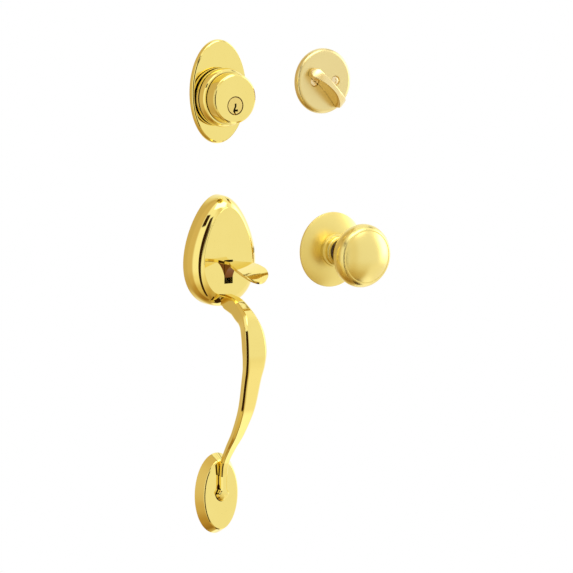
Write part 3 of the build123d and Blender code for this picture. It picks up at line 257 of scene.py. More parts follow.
GLARE = (3.0, 2.9, 2.7)
SHEEN = (2.7, 2.65, 2.5)
LOW_SHEEN = (0.83, 0.81, 0.76)
LEG_SHEEN = (0.98, 0.99, 0.98)
UMBER = (0.03, 0.012, 0.004)
overhead_diffuser = (-60, 62, 56, 76, 3)
right_window = (68, 100, -10, 30, 18)
low_bounce = (34, 150, -66, -22, 12)
floor_bounce = (50, 150, -66, -47, 8)
left_gap = (-55, -41, -75, 38, 1.5)
upper_left_gap = (-82, -64, 31, 45, 1.5)
upper_right_gap = (98, 116, 37, 46, 1.5)
floor_gap = (0, 130, -88, -67, 2)
studio_light = sky_mix.outputs["Result"]
for edges, light in ((overhead_diffuser, GLARE), (right_window, SHEEN), (low_bounce, LOW_SHEEN),
                     (floor_bounce, LEG_SHEEN), (left_gap, UMBER), (upper_left_gap, UMBER),
                     (upper_right_gap, UMBER), (floor_gap, UMBER)):
    board = node(sky, "ShaderNodeGroup", node_tree=studio_panel)
    for name, value in zip(("Left", "Right", "Bottom", "Top", "Edge"), edges):
        board.inputs[name].default_value = value
    board.inputs["Light"].default_value = (*light, 1)
    for name, place in sky_degrees.items():
        sky.links.new(place, board.inputs[name])
    sky.links.new(studio_light, board.inputs["Behind"])
    studio_light = board.outputs["Color"]
sky_seen = node(sky, "ShaderNodeLightPath")
sky_pick = node(sky, "ShaderNodeMix", data_type="RGBA")
sky_pick.inputs["B"].default_value = (1 / SKY_STRENGTH, 1 / SKY_STRENGTH, 1 / SKY_STRENGTH, 1)
wire(sky, sky_seen, "Is Camera Ray", sky_pick, "Factor")
sky.links.new(studio_light, sky_pick.inputs["A"])
wire(sky, sky_pick, "Result", sky_light, "Color")
wire(sky, sky_light, 0, sky_out, "Surface")

# Deadbolt plate. A long oval plate of pressed brass, mirror polished, with an upright rim that rolls
# over into a flat face. It lies behind the lock's collar. The brass finish is made here first.
MM = 0.001
PLATE_HALF_WIDTH = 27.75
PLATE_HALF_HEIGHT = 44.3
PLATE_DEPTH = 4.2
PLATE_BEVEL = 1.8
PLATE_ARRIS = 0.75
PLATE_WALL = 1.5
PLATE_HOLE = 17.4
ARRIS_SLOPE = 0.8
ROUND = 144
CREASE = 32.0
BRASS_TONE = (0.905, 0.75, 0.245)
BRASS_DEEP = (0.875, 0.71, 0.215)
MIRROR = 0.035


def polish_group():
    """Polisher's marks: a soft haze that drifts over the surface and fine drawn lines in it."""
    tree, given, out = group("polish", {
        "Float": ("Haze Size", "Line Size", "Base Roughness", "Haze", "Line Depth"),
        "Color": ("Tone", "Deep Tone")},
        {"Color": ("Color",), "Float": ("Roughness",), "Vector": ("Normal",)})
    place = node(tree, "ShaderNodeTexCoord")
    haze = node(tree, "ShaderNodeTexNoise", Detail=4.0, Roughness=0.6)
    wire(tree, place, "Object", haze, "Vector")
    wire(tree, given, "Haze Size", haze, "Scale")
    lines = node(tree, "ShaderNodeTexNoise", Detail=2.0)
    stretch = node(tree, "ShaderNodeMapping")
    stretch.inputs["Scale"].default_value = (1.0, 1.0, 0.12)
    wire(tree, place, "Object", stretch, "Vector")
    wire(tree, stretch, 0, lines, "Vector")
    wire(tree, given, "Line Size", lines, "Scale")
    rough = node(tree, "ShaderNodeMath", operation="MULTIPLY_ADD")
    wire(tree, haze, "Fac", rough, 0)
    wire(tree, given, "Haze", rough, 1)
    wire(tree, given, "Base Roughness", rough, 2)
    wire(tree, rough, 0, out, "Roughness")
    bump = node(tree, "ShaderNodeBump", Distance=0.00002)
    wire(tree, lines, "Fac", bump, "Height")
    wire(tree, given, "Line Depth", bump, "Strength")
    wire(tree, bump, "Normal", out, "Normal")
    tone = node(tree, "ShaderNodeMix", data_type="RGBA")
    wire(tree, haze, "Fac", tone, "Factor")
    wire(tree, given, "Tone", tone, "A")
    wire(tree, given, "Deep Tone", tone, "B")
    wire(tree, tone, "Result", out, "Color")
    return tree


polish = polish_group()


def painted_shade_group():
    """Painted shade for grooves, joints and necks: a mask between two depths from the door."""
    tree, given, out = group("painted_band_shade", {"Float": ("From", "To", "Soft")}, {"Float": ("Mask",)})
    place = node(tree, "ShaderNodeTexCoord")
    parts = node(tree, "ShaderNodeSeparateXYZ")
    wire(tree, place, "Object", parts, 0)
    depth = node(tree, "ShaderNodeMath", operation="MULTIPLY")
    wire(tree, parts, "Y", depth, 0)
    depth.inputs[1].default_value = -1000.0
    band = between(tree, depth.outputs[0], given, "From", "To", "Soft")
    wire(tree, band, 0, out, "Mask")
    return tree


painted_band_shade = painted_shade_group()
# Painted shade: the dark brown colour and soft edge of the bands that stand in for shade in grooves and
# joints.
PAINTED_SHADE = (0.07, 0.022, 0.008)
PAINTED_SHADE_EDGE = 0.12
HAZE_SIZE = 60.0


def metal(name, tone, deep_tone, roughness, haze=0.03, line_depth=0.02, line_size=900.0, shade_bands=()):
    """A metal finish with the polisher's marks placed in it at its own values. Shade bands are (from, to)
    depths where shade is painted dark brown into its colour."""
    material = bpy.data.materials.new(name)
    material.use_nodes = True
    tree = material.node_tree
    tree.nodes.clear()
    out = node(tree, "ShaderNodeOutputMaterial")
    body = node(tree, "ShaderNodeBsdfPrincipled", Metallic=1.0)
    marks = node(tree, "ShaderNodeGroup", node_tree=polish)
    for socket, value in (("Tone", (*tone, 1)), ("Deep Tone", (*deep_tone, 1)),
                          ("Base Roughness", roughness), ("Haze", haze), ("Haze Size", HAZE_SIZE),
                          ("Line Depth", line_depth), ("Line Size", line_size)):
        marks.inputs[socket].default_value = value
    colour = marks.outputs["Color"]
    for start, end in shade_bands:
        band = node(tree, "ShaderNodeGroup", node_tree=painted_band_shade)
        for socket, value in (("From", start), ("To", end), ("Soft", PAINTED_SHADE_EDGE)):
            band.inputs[socket].default_value = value
        darker = node(tree, "ShaderNodeMix", data_type="RGBA")
        wire(tree, band, "Mask", darker, "Factor")
        tree.links.new(colour, darker.inputs["A"])
        darker.inputs["B"].default_value = (*PAINTED_SHADE, 1)
        colour = darker.outputs["Result"]
    tree.links.new(colour, body.inputs["Base Color"])
    wire(tree, marks, "Roughness", body, "Roughness")
    wire(tree, marks, "Normal", body, "Normal")
    wire(tree, body, 0, out, "Surface")
    return material


bright_brass = metal("bright_brass", BRASS_TONE, BRASS_DEEP, MIRROR, 0.02)


def through(points, steps):
    """Points on a smooth line through the given ones, with the same number of steps in each span."""
    ends = [tuple(2 * a - b for a, b in zip(points[0], points[1])), *points,
            tuple(2 * a - b for a, b in zip(points[-1], points[-2]))]
    line = []
    for before, start, end, after in zip(ends, ends[1:], ends[2:], ends[3:]):
        for i in range(steps):
            t = i / steps
            line.append(tuple(
                b + 0.5 * t * (c - a + t * (2 * a - 5 * b + 4 * c - d + t * (3 * (b - c) + d - a)))
                for a, b, c, d in zip(before, start, end, after)))
    line.append(tuple(points[-1]))
    return line


def solid_of_rings(name, rings, material, crease=CREASE):
    """A closed piece from rings of (x, depth, z) in millimetres. A ring of one point is a pole, and
    an end ring of more points is closed by a flat face."""
    shape = bmesh.new()
    made = [[shape.verts.new((x * MM, -depth * MM, z * MM)) for x, depth, z in ring] for ring in rings]
    for near, far in zip(made, made[1:]):
        count = max(len(near), len(far))
        for i in range(count):
            j = (i + 1) % count
            corners = [near[i % len(near)], near[j % len(near)], far[j % len(far)], far[i % len(far)]]
            shape.faces.new(list(dict.fromkeys(corners)))
    for end in (made[0], made[-1]):
        if len(end) > 1:
            shape.faces.new(end)
    bmesh.ops.recalc_face_normals(shape, faces=shape.faces)
    mesh = bpy.data.meshes.new(name)
    shape.to_mesh(mesh)
    shape.free()
    mesh.materials.append(material)
    mesh.shade_smooth()
    mesh.set_sharp_from_angle(angle=math.radians(crease))
    piece = bpy.data.objects.new(name, mesh)
    bpy.context.scene.collection.objects.link(piece)
    return piece


def cover_rings(half_width, half_height, egg, depth, bevel, inset=0.0, arris=0.0, steep=False):
    """Rings of an oval or egg cover from its rim on the door up to the edge of its flat face. An
    arris is a narrow facet of that width between the rim and the face. A steep rim is straight, and
    the usual one is rolled."""
    rings = []
    rolled = through([(0.0, 0.0), (0.40, 0.05), (0.62, 0.22), (0.83, 0.56), (1.0, 1.0)], 8)
    if arris:
        inward = bevel - arris
        upright = depth - arris * ARRIS_SLOPE
        if steep:
            rolled = [(upright * t / depth, inward * t / bevel) for t in (0.0, 0.04, 0.5, 0.96, 1.0)]
        else:
            rolled = [((2 * t * (1 - t) * (upright - inward) + upright * t * t) / depth,
                       inward * t * t / bevel) for t in [i / 24 for i in range(25)]]
        rolled += [((upright + arris * ARRIS_SLOPE * t) / depth, (inward + arris * t) / bevel)
                   for t in (0.25, 0.5, 0.75, 1.0)]
    edge = min(0.35 / bevel, 0.5)
    rolled = rolled[:-1] + [(1.0 - 0.35 * edge, 1.0 - 0.6 * edge), (1.0 - 0.08 * edge, 1.0 - 0.1 * edge),
                            (1.0, 1.0 + 0.5 * edge)]
    flatten = 0.98
    for rise, inward in rolled:
        shrink = inset + bevel * inward
        ring = []
        for i in range(ROUND):
            turn = 2 * math.pi * i / ROUND
            reach = (half_width - shrink) * (1 - egg * math.sin(turn))
            ring.append((reach * math.cos(turn), depth * rise, (half_height - shrink) * math.sin(turn)))
        rings.append(ring)
    rings.append([(x * flatten, deep, z * flatten) for x, deep, z in rings[-1]])
    return rings


def cover(name, half_width, half_height, depth, bevel, wall, inner_bevel, x=0, z=0, egg=0.0, **rim):
    """A hollow oval or egg cover of bright brass round a place on the door."""
    rings = cover_rings(half_width, half_height, egg, depth - wall, inner_bevel, wall)[::-1]
    rings += cover_rings(half_width, half_height, egg, depth, bevel, **rim)
    placed = [[(px + x, deep, pz + z) for px, deep, pz in ring] for ring in rings]
    return solid_of_rings(name, placed, bright_brass)


def cut(piece, *cutters):
    """Cut other solids out of a piece and delete them, then mark its creases again."""
    for cutter in cutters:
        saw = piece.modifiers.new("cut", "BOOLEAN")
        saw.operation = "DIFFERENCE"
        saw.solver = "EXACT"
        saw.object = cutter
    bake(piece)
    for cutter in cutters:
        bpy.data.objects.remove(cutter)


def bake(piece):
    """Turn a piece with its modifiers into a plain mesh."""
    result = bpy.data.meshes.new_from_object(piece.evaluated_get(bpy.context.evaluated_depsgraph_get()))
    piece.modifiers.clear()
    piece.data = result
    result.shade_smooth()
    result.set_sharp_from_angle(angle=math.radians(CREASE))


def turned(name, profile, x, z, material, count=ROUND, crease=CREASE):
    """A turned or spun piece from a profile of (radius, depth) points."""
    rings = []
    for radius, depth in profile:
        if radius < 1e-6:
            rings.append([(x, depth, z)])
        else:
            rings.append([(x + radius * math.cos(2 * math.pi * i / count), depth,
                           z + radius * math.sin(2 * math.pi * i / count)) for i in range(count)])
    return solid_of_rings(name, rings, material, crease)


def middle(name):
    """Centre of a node across the door and up it, in millimetres."""
    low_corner, high_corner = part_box(name)
    centre = (low_corner + high_corner) / 2 / MM
    return centre.x, centre.z


plate_x, plate_z = middle("deadbolt_plate")
collar_x, collar_z = middle("cylinder_body")
plate = cover("oval_plate", PLATE_HALF_WIDTH, PLATE_HALF_HEIGHT, PLATE_DEPTH, PLATE_BEVEL, PLATE_WALL,
              PLATE_BEVEL, plate_x, plate_z, arris=PLATE_ARRIS)
cut(plate, turned("hole", [(PLATE_HOLE, -1), (PLATE_HOLE, 9)], collar_x, collar_z, bright_brass, 96))
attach(plate, "trim")
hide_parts("deadbolt_plate")

# Lock collar. A turned brass collar in three steps, with a rolled shoulder and a flat face, and two
# threaded posts behind that the thumbturn's long bolts draw up. The plug sits low in its face.
COLLAR_OUTER = 25.1
COLLAR_FRONT = 21.2
COLLAR_SHOULDER = 12.3
COLLAR_DEPTH = 29.0
GROOVE = 2.4
SPIGOT = 17.2
CORE = 15.05
CORE_FRONT = 27.0
PLUG_HEAD = 7.9
POST = 4.0
POST_BORE = 2.2
POST_SPACING = 38.0


def arc(start, via, end, steps=10):
    """Points on the circle through three (radius, depth) points."""
    (ax, ay), (bx, by), (cx, cy) = start, via, end
    d = 2 * (ax * (by - cy) + bx * (cy - ay) + cx * (ay - by))
    a2, b2, c2 = ax * ax + ay * ay, bx * bx + by * by, cx * cx + cy * cy
    ox = (a2 * (by - cy) + b2 * (cy - ay) + c2 * (ay - by)) / d
    oy = (a2 * (cx - bx) + b2 * (ax - cx) + c2 * (bx - ax)) / d
    radius = math.hypot(ax - ox, ay - oy)
    first, mid, last = (math.atan2(y - oy, x - ox) for x, y in (start, via, end))
    sweep = (last - first) % (2 * math.pi)
    if (mid - first) % (2 * math.pi) > sweep:
        sweep -= 2 * math.pi
    turns = [first + sweep * i / steps for i in range(steps + 1)]
    return [(ox + radius * math.cos(turn), oy + radius * math.sin(turn)) for turn in turns]


def eased(points, radius=0.35, steps=3, hold=0.3):
    """A profile with its sharp corners rounded off by a small radius. Long straight spans get a
    point near each end, so that they stay flat to the eye."""
    line = [points[0]]
    for before, corner, after in zip(points, points[1:], points[2:]):
        a = Vector(before) - Vector(corner)
        b = Vector(after) - Vector(corner)
        turn = math.pi - a.angle(b, math.pi)
        if turn < math.radians(20) or min(a.length, b.length) < 1e-6:
            line.append(corner)
            continue
        back = min(radius * math.tan(turn / 2), 0.45 * a.length, 0.45 * b.length)
        first = Vector(corner) + a.normalized() * back
        last = Vector(corner) + b.normalized() * back
        for i in range(steps + 1):
            t = i / steps
            spot = first * (1 - t) ** 2 + Vector(corner) * 2 * t * (1 - t) + last * t * t
            line.append(tuple(spot))
    line.append(points[-1])
    held = [line[0]]
    for start, end in zip(line, line[1:]):
        span = Vector(end) - Vector(start)
        if span.length > 3 * hold:
            step = span.normalized() * hold
            held += [tuple(Vector(start) + step), tuple(Vector(end) - step)]
        held.append(end)
    return held


def tube(name, bore, radius, start, end, x, z, material):
    """A tube square to the door between two depths."""
    line = [(bore, start), (radius, start), (radius, end), (bore, end), (bore, start)]
    return turned(name, line, x, z, material, 48)


neck = (COLLAR_FRONT + 1.9, COLLAR_SHOULDER + 4.8)
rear_groove = (PLATE_DEPTH, PLATE_DEPTH + 2.0)
ring_groove = (PLATE_DEPTH + 4.9, PLATE_DEPTH + 7.0)
drum_groove = (neck[1] + 0.2, neck[1] + 1.3)
# Painted shade: the finish colours the collar's three grooves dark brown, in bands by depth.
collar_brass = metal("collar_brass", BRASS_TONE, BRASS_DEEP, MIRROR, 0.02,
                     shade_bands=(rear_groove, ring_groove, drum_groove))
collar_line = [(0, CORE_FRONT), (CORE, CORE_FRONT), (CORE, 0.4), (SPIGOT, 0.4), (SPIGOT, PLATE_DEPTH)]
for groove_back, groove_front in (rear_groove, ring_groove):
    collar_line += [(COLLAR_OUTER - 0.4, groove_back), (COLLAR_OUTER - GROOVE, groove_back + 0.1),
                    (COLLAR_OUTER - GROOVE, groove_front - 0.1), (COLLAR_OUTER - 0.4, groove_front)]
collar_line += [(COLLAR_OUTER, ring_groove[1] + 0.3), (COLLAR_OUTER, COLLAR_SHOULDER)]
collar_line += arc((COLLAR_OUTER, COLLAR_SHOULDER), (COLLAR_OUTER - 0.75, COLLAR_SHOULDER + 2.9), neck)[1:]
collar_line += [(COLLAR_FRONT - 0.1, drum_groove[0] + 0.1), (COLLAR_FRONT - 0.1, drum_groove[1] - 0.2),
                (COLLAR_FRONT + 0.5, drum_groove[1]), (COLLAR_FRONT, COLLAR_DEPTH - 2.3)]
collar_line += arc((COLLAR_FRONT, COLLAR_DEPTH - 2.3), (COLLAR_FRONT - 0.3, COLLAR_DEPTH - 1.3),
                   (COLLAR_FRONT - 1.0, COLLAR_DEPTH - 0.68), 8)[1:]
collar_line += [(COLLAR_FRONT - 1.85, COLLAR_DEPTH), (0, COLLAR_DEPTH)]
collar = turned("lock_collar", eased(collar_line, 0.15), collar_x, collar_z, collar_brass)
plug_x, plug_z = middle("cylinder_plug")
plug_bore = PLUG_HEAD + 0.05
cut(collar, turned("hole", [(plug_bore, 20), (plug_bore, 32)], plug_x, plug_z, collar_brass, 96))
posts = [tube("post", POST_BORE, POST, 0.4, 6.0, collar_x + side * POST_SPACING / 2, collar_z, collar_brass)
         for side in (-1, 1)]


def join(piece, others):
    """Add other pieces' meshes to a piece, each with its finish, and delete them."""
    shape = bmesh.new()
    finishes_used = piece.data.materials
    for part in (piece, *others):
        first = len(shape.faces)
        shape.from_mesh(part.data)
        finish = part.data.materials[0]
        if finish.name not in finishes_used:
            finishes_used.append(finish)
        shape.faces.ensure_lookup_table()
        for face in shape.faces[first:]:
            face.material_index = finishes_used.find(finish.name)
    shape.to_mesh(piece.data)
    shape.free()
    piece.data.set_sharp_from_angle(angle=math.radians(CREASE))
    for part in others:
        bpy.data.objects.remove(part)


join(collar, posts)
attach(collar, "trim")
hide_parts("cylinder_housing")

# Lock plug. A brass plug that the key turns, with a flanged face, a fine groove round it and the
# crooked keyway milled down it. It is duller than the collar, from wear by the key.
PLUG_BODY = 6.4
PLUG_TAIL = 5.0
PLUG_FRONT = 28.85
RIM_WIDTH = 0.75
RIM_DROP = 0.6
# Painted shade: a dark brown ring is coloured into the finish at the groove round the plug's face.
plug_brass = metal("plug_brass", (0.85, 0.67, 0.22), (0.79, 0.60, 0.18), 0.12, 0.06,
                   shade_bands=((PLUG_FRONT - RIM_DROP - 0.2, PLUG_FRONT - RIM_DROP + 0.25),))
plug_line = [(0, -1.4), (PLUG_TAIL, -1.4), (PLUG_TAIL, 1.8), (PLUG_BODY, 1.8), (PLUG_BODY, CORE_FRONT),
             (PLUG_HEAD, CORE_FRONT), (PLUG_HEAD, PLUG_FRONT - RIM_DROP),
             (PLUG_HEAD - RIM_WIDTH, PLUG_FRONT - RIM_DROP), (PLUG_HEAD - RIM_WIDTH - 0.1, PLUG_FRONT),
             (0, PLUG_FRONT)]
plug = turned("lock_plug", eased(plug_line, 0.1), plug_x, plug_z, plug_brass, 96)
keyway_line = [(0.3, 1.9), (0.3, -0.6), (-0.9, -3.0), (-1.3, -4.6), (-0.3, -6.2), (-0.3, -8.4)]
KEYWAY_HALF = 0.85
KEYWAY_BACK = 4.3
KEYWAY_FRONT = 33


def prism(name, outline, start, end, x, z, material):
    """A straight bar square to the door with any outline."""
    return solid_of_rings(name, [[(x + px, depth, z + pz) for px, pz in outline]
                                 for depth in (start, end)], material)


def box_outline(left, right, bottom, top):
    """Corners of an upright rectangle on the door."""
    return [(left, bottom), (right, bottom), (right, top), (left, top)]


slot_outline = [(px + KEYWAY_HALF, pz) for px, pz in keyway_line]
slot_outline += [(px - KEYWAY_HALF, pz) for px, pz in reversed(keyway_line)]
ward_outline = box_outline(-0.4, 2.6, -4.9, -3.1)
cut(plug, prism("slot", slot_outline, KEYWAY_BACK, KEYWAY_FRONT, plug_x, plug_z, plug_brass),
    prism("ward", ward_outline, KEYWAY_BACK, KEYWAY_FRONT, plug_x, plug_z, plug_brass))
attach(plug, "key_plug")
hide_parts("cylinder_plug")

# Thumbturn rose. A round stamped brass rose with a soft rolled rim, hollow behind, and two dimples in
# its face. The screws in them go into the bosses of the steel plate behind and hold it there.
TURN_ROSE = 28.5
TURN_ROSE_DEPTH = 5.8
TURN_ROSE_EDGE = 4.4
TURN_WALL = 1.5
SCREW_SPACING = 22.0
DIMPLE = 4.3
DIMPLE_DEPTH = 1.2
SHAFT = 2.9
pale_brass = metal("pale_brass", (0.83, 0.69, 0.32), (0.79, 0.64, 0.28), 0.27)
turn_x, turn_z = middle("turn_rose")
flat = TURN_ROSE - TURN_ROSE_EDGE
inner_radius = TURN_ROSE - TURN_WALL
inner_depth = TURN_ROSE_DEPTH - TURN_WALL
rose_line = [(0, inner_depth)]
rose_line += arc((flat - 0.4, inner_depth), (inner_radius - 1.1, inner_depth * 0.76),
                 (inner_radius, inner_depth * 0.28))
rose_line += [(inner_radius, 0), (TURN_ROSE, 0)]
rose_line += arc((TURN_ROSE, TURN_ROSE_DEPTH * 0.28), (TURN_ROSE - 1.2, TURN_ROSE_DEPTH * 0.76),
                 (flat, TURN_ROSE_DEPTH), 14)
rose_line += [(0, TURN_ROSE_DEPTH)]
rose = turned("turn_rose_shell", eased(rose_line, 0.2), turn_x, turn_z, pale_brass)
dimple_floor = TURN_ROSE_DEPTH - DIMPLE_DEPTH
dimple_line = [(0, 0.5), (1.8, 0.5), (1.8, dimple_floor - 0.1), (DIMPLE - 0.5, dimple_floor),
               (DIMPLE, dimple_floor + 0.5), (DIMPLE + 0.25, TURN_ROSE_DEPTH + 0.02),
               (DIMPLE + 0.25, 9), (0, 9)]
shaft_x, shaft_z = middle("turn_driver")
shaft_bore = SHAFT + 0.05
cut(rose, turned("bore", [(shaft_bore, 0), (shaft_bore, 9)], shaft_x, shaft_z, pale_brass, 48),
    *[turned("dimple", dimple_line, turn_x + side * SCREW_SPACING / 2, turn_z, pale_brass, 64)
      for side in (-1, 1)])
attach(rose, "trim")
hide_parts("turn_rose")

# Rose screws. Two oval-head brass screws with a cross recess, one in each dimple. The head, its
# recess and the shank are made once and placed at both dimples.
SCREW_HEAD = 3.9
SCREW_SHANK = 1.6
HEAD_RIM = 0.4
HEAD_DOME = 0.9


def points_tree():
    """Copies of one piece along a line: how many, how far apart and which way."""
    tree, given, out = group("row_of_copies", {
        "Geometry": ("Geometry",), "Object": ("Piece",), "Int": ("Count",),
        "Vector": ("Start", "Step"), "Material": ("Material",)},
        {"Geometry": ("Geometry",)}, "GeometryNodeTree")
    line = node(tree, "GeometryNodeMeshLine", mode="OFFSET")
    info = node(tree, "GeometryNodeObjectInfo")
    place = node(tree, "GeometryNodeInstanceOnPoints")
    solid = node(tree, "GeometryNodeRealizeInstances")
    paint = node(tree, "GeometryNodeSetMaterial")
    wire(tree, given, "Count", line, "Count")
    wire(tree, given, "Start", line, "Start Location")
    wire(tree, given, "Step", line, "Offset")
    wire(tree, given, "Piece", info, "Object")
    wire(tree, line, "Mesh", place, "Points")
    wire(tree, info, "Geometry", place, "Instance")
    wire(tree, place, "Instances", solid, "Geometry")
    wire(tree, solid, "Geometry", paint, "Geometry")
    wire(tree, given, "Material", paint, "Material")
    wire(tree, paint, "Geometry", out, "Geometry")
    return tree


row_of_copies = points_tree()


def row(name, piece, count, start, step, material):
    """Plain mesh of a piece copied along a line; start and step are (x, depth, z) in millimetres."""
    made = bpy.data.objects.new(name, bpy.data.meshes.new(name))
    bpy.context.scene.collection.objects.link(made)
    grow = made.modifiers.new("row", "NODES")
    grow.node_group = row_of_copies
    values = {"Piece": piece, "Count": count, "Start": [start[0] * MM, -start[1] * MM, start[2] * MM],
              "Step": [step[0] * MM, -step[1] * MM, step[2] * MM], "Material": material}
    for socket in row_of_copies.interface.items_tree:
        if socket.in_out == "INPUT" and socket.name in values:
            grow[socket.identifier] = values[socket.name]
    bake(made)
    bpy.data.objects.remove(piece)
    return made


def crosses(reach, half_width, start, end, material):
    """The two bars of a cross recess, as cutters."""
    bars = []
    for wide, tall in ((reach, half_width), (half_width, reach)):
        bars.append(prism("recess", box_outline(-wide, wide, -tall, tall), start, end, 0, 0, material))
    return bars


screw_brass = metal("screw_brass", (0.88, 0.74, 0.46), (0.82, 0.66, 0.38), 0.12, 0.05)
crown_height = HEAD_RIM + HEAD_DOME
head_line = [(0, -4.1), (SCREW_SHANK, -4.1), (SCREW_SHANK, 0), (SCREW_HEAD, 0), (SCREW_HEAD, HEAD_RIM)]
head_line += arc((SCREW_HEAD, HEAD_RIM), (SCREW_HEAD * 0.55, HEAD_RIM + HEAD_DOME * 0.72),
                 (0, crown_height), 8)[1:-1] + [(0, crown_height)]
screw = turned("one_screw", eased(head_line, 0.15), 0, 0, screw_brass, 64)
cut(screw, *crosses(2.1, 0.45, 0.4, 3, screw_brass))
screws = row("rose_screw_pair", screw, 2, (turn_x - SCREW_SPACING / 2, dimple_floor, turn_z),
             (SCREW_SPACING, 0, 0), screw_brass)
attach(screws, "trim")
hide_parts("rose_screws")

# Thumbturn. One casting: an arched fin, wide and rounded at its ends and waisted in the middle, that
# stands slanted at rest, on a round shaft with a square end behind.
FIN_LENGTH = 46.0
FIN_WIDTH = 10.2
FIN_WAIST = 5.0
FIN_END = FIN_WIDTH / 2
FIN_EDGE = 0.9
FIN_HEIGHT = 16.0
FIN_FOOT = 2.6
FIN_GAP = 0.3
TURN_ANGLE = -45.0
fin_brass = metal("fin_brass", (0.88, 0.73, 0.38), (0.83, 0.66, 0.30), 0.16, 0.05)


def fin_ring(share):
    """Section across the fin at a place along it, -1 to 1, as points of (along, depth, across)."""
    half_length = FIN_LENGTH / 2
    along = share * half_length
    base = TURN_ROSE_DEPTH + FIN_GAP
    sag = FIN_HEIGHT - FIN_FOOT
    radius = (half_length ** 2 + sag ** 2) / (2 * sag)
    top = base + FIN_HEIGHT - radius + math.sqrt(radius ** 2 - along ** 2)
    bite = (FIN_WIDTH - FIN_WAIST) / 2
    chord = half_length - 1.8
    scoop = (chord ** 2 + bite ** 2) / (2 * bite)
    wide = FIN_WIDTH / 2
    if abs(along) < chord:
        wide = min(wide, FIN_WAIST / 2 + scoop - math.sqrt(scoop ** 2 - along ** 2))
    end = half_length - FIN_END
    if abs(along) > end:
        wide = min(wide, math.sqrt(max(FIN_END ** 2 - (abs(along) - end) ** 2, 0.0004)))
    soft = min(FIN_EDGE, wide * 0.7, (top - base) * 0.4)
    side = [(wide, base)] + [(wide, base + (top - soft - base) * i / 4) for i in (1, 2, 3, 4)]
    crown = arc((wide, top - soft), (wide - soft * 0.29, top - soft * 0.29), (wide - soft, top), 5)[1:]
    half_line = side + crown + [(0, top + 0.02)]
    line = half_line + [(-across, depth) for across, depth in reversed(half_line[:-1])]
    return [(along, depth, across) for across, depth in line]


axis_x, axis_z = middle("turn_driver")
lean = math.radians(-TURN_ANGLE)
shares = [math.sin(math.pi / 2 * (-1 + 2 * i / 72)) * 0.9996 for i in range(73)]
fin_rings = []
for share in shares:
    ring = []
    for along, depth, side in fin_ring(share):
        ring.append((axis_x + along * math.cos(lean) + side * math.sin(lean), depth,
                     axis_z - along * math.sin(lean) + side * math.cos(lean)))
    fin_rings.append(ring)
fin = solid_of_rings("turn_fin", fin_rings, fin_brass, crease=40.0)
shaft_line = [(0, 2.2), (SHAFT, 2.2), (SHAFT, 3.2), (SHAFT - 0.6, 3.2), (SHAFT - 0.6, 4.0), (SHAFT, 4.0),
              (SHAFT, 6.6), (0, 6.6)]
shaft = turned("shaft", shaft_line, axis_x, axis_z, fin_brass, 48)
SQUARE = 2.0
corner = SQUARE * math.sqrt(2)
corner_turns = [lean + math.pi / 4 + math.pi / 2 * i for i in range(4)]
square_outline = [(corner * math.cos(turn), corner * math.sin(turn)) for turn in corner_turns]
square = prism("square", square_outline, -6.0, 2.2, axis_x, axis_z, fin_brass)
join(fin, [shaft, square])
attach(fin, "turn")
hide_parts("thumbturn")

# Escutcheon. A hollow cast brass cover, egg-shaped and wider below, whose upright rim rolls over
# into a sloping shoulder round a flat face. A slot in the face lets the thumbpiece through.
ESC_HALF_WIDTH = 33.0
ESC_HALF_HEIGHT = 48.2
ESC_EGG = 0.23
ESC_DEPTH = 19.2
ESC_BEVEL = 9.5
ESC_WALL = 2.5
SLOT_HALF_WIDTH = 4.25
SLOT_TOP = -6.4
SLOT_BOTTOM = -26.8
GRIP_BOSS = 5.4
GRIP_SCREW_Z = 7.2 - ESC_HALF_HEIGHT
escutcheon = cover("egg_escutcheon", ESC_HALF_WIDTH, ESC_HALF_HEIGHT, ESC_DEPTH, ESC_BEVEL, ESC_WALL,
                   ESC_BEVEL - 1.0, egg=ESC_EGG)
slot_box = box_outline(-SLOT_HALF_WIDTH, SLOT_HALF_WIDTH, SLOT_BOTTOM, SLOT_TOP)
cut(escutcheon, prism("slot", slot_box, 14, 25, 0, 0, bright_brass))
posts = [tube("post", POST_BORE, POST, 1.8, 17.0, side * POST_SPACING / 2, 0, bright_brass)
         for side in (-1, 1)]
posts.append(tube("boss", 2.6, GRIP_BOSS, 6, 14.0, 0, GRIP_SCREW_Z, bright_brass))
join(escutcheon, posts)
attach(escutcheon, "trim")
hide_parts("escutcheon")

# Grip. One brass casting: a tall narrow neck on the escutcheon, the finger grip with crisp bevelled
# edges in front and a rounded back, and a narrow leg with a fish tail on the lower rose.
GRIP_REACH = 65.6
GRIP_WIDTH = 20.6
GRIP_THICK = 12.6
GRIP_ROOT_Z = 12.2 - ESC_HALF_HEIGHT
GRIP_ROOT_WIDTH = 8.8
GRIP_ROOT_THICK = 14.5
GRIP_BEVEL = 1.8
BEVEL_RUN = 1.25
LEG_ARRIS = 1.3
LEG_THICK = 5.3
LEG_WIDTH = 6.2
LEG_END = -220.0
TAIL_FLARE = 12.6
FOOT_Z = -207.0
ROSE_DEPTH = 9.0

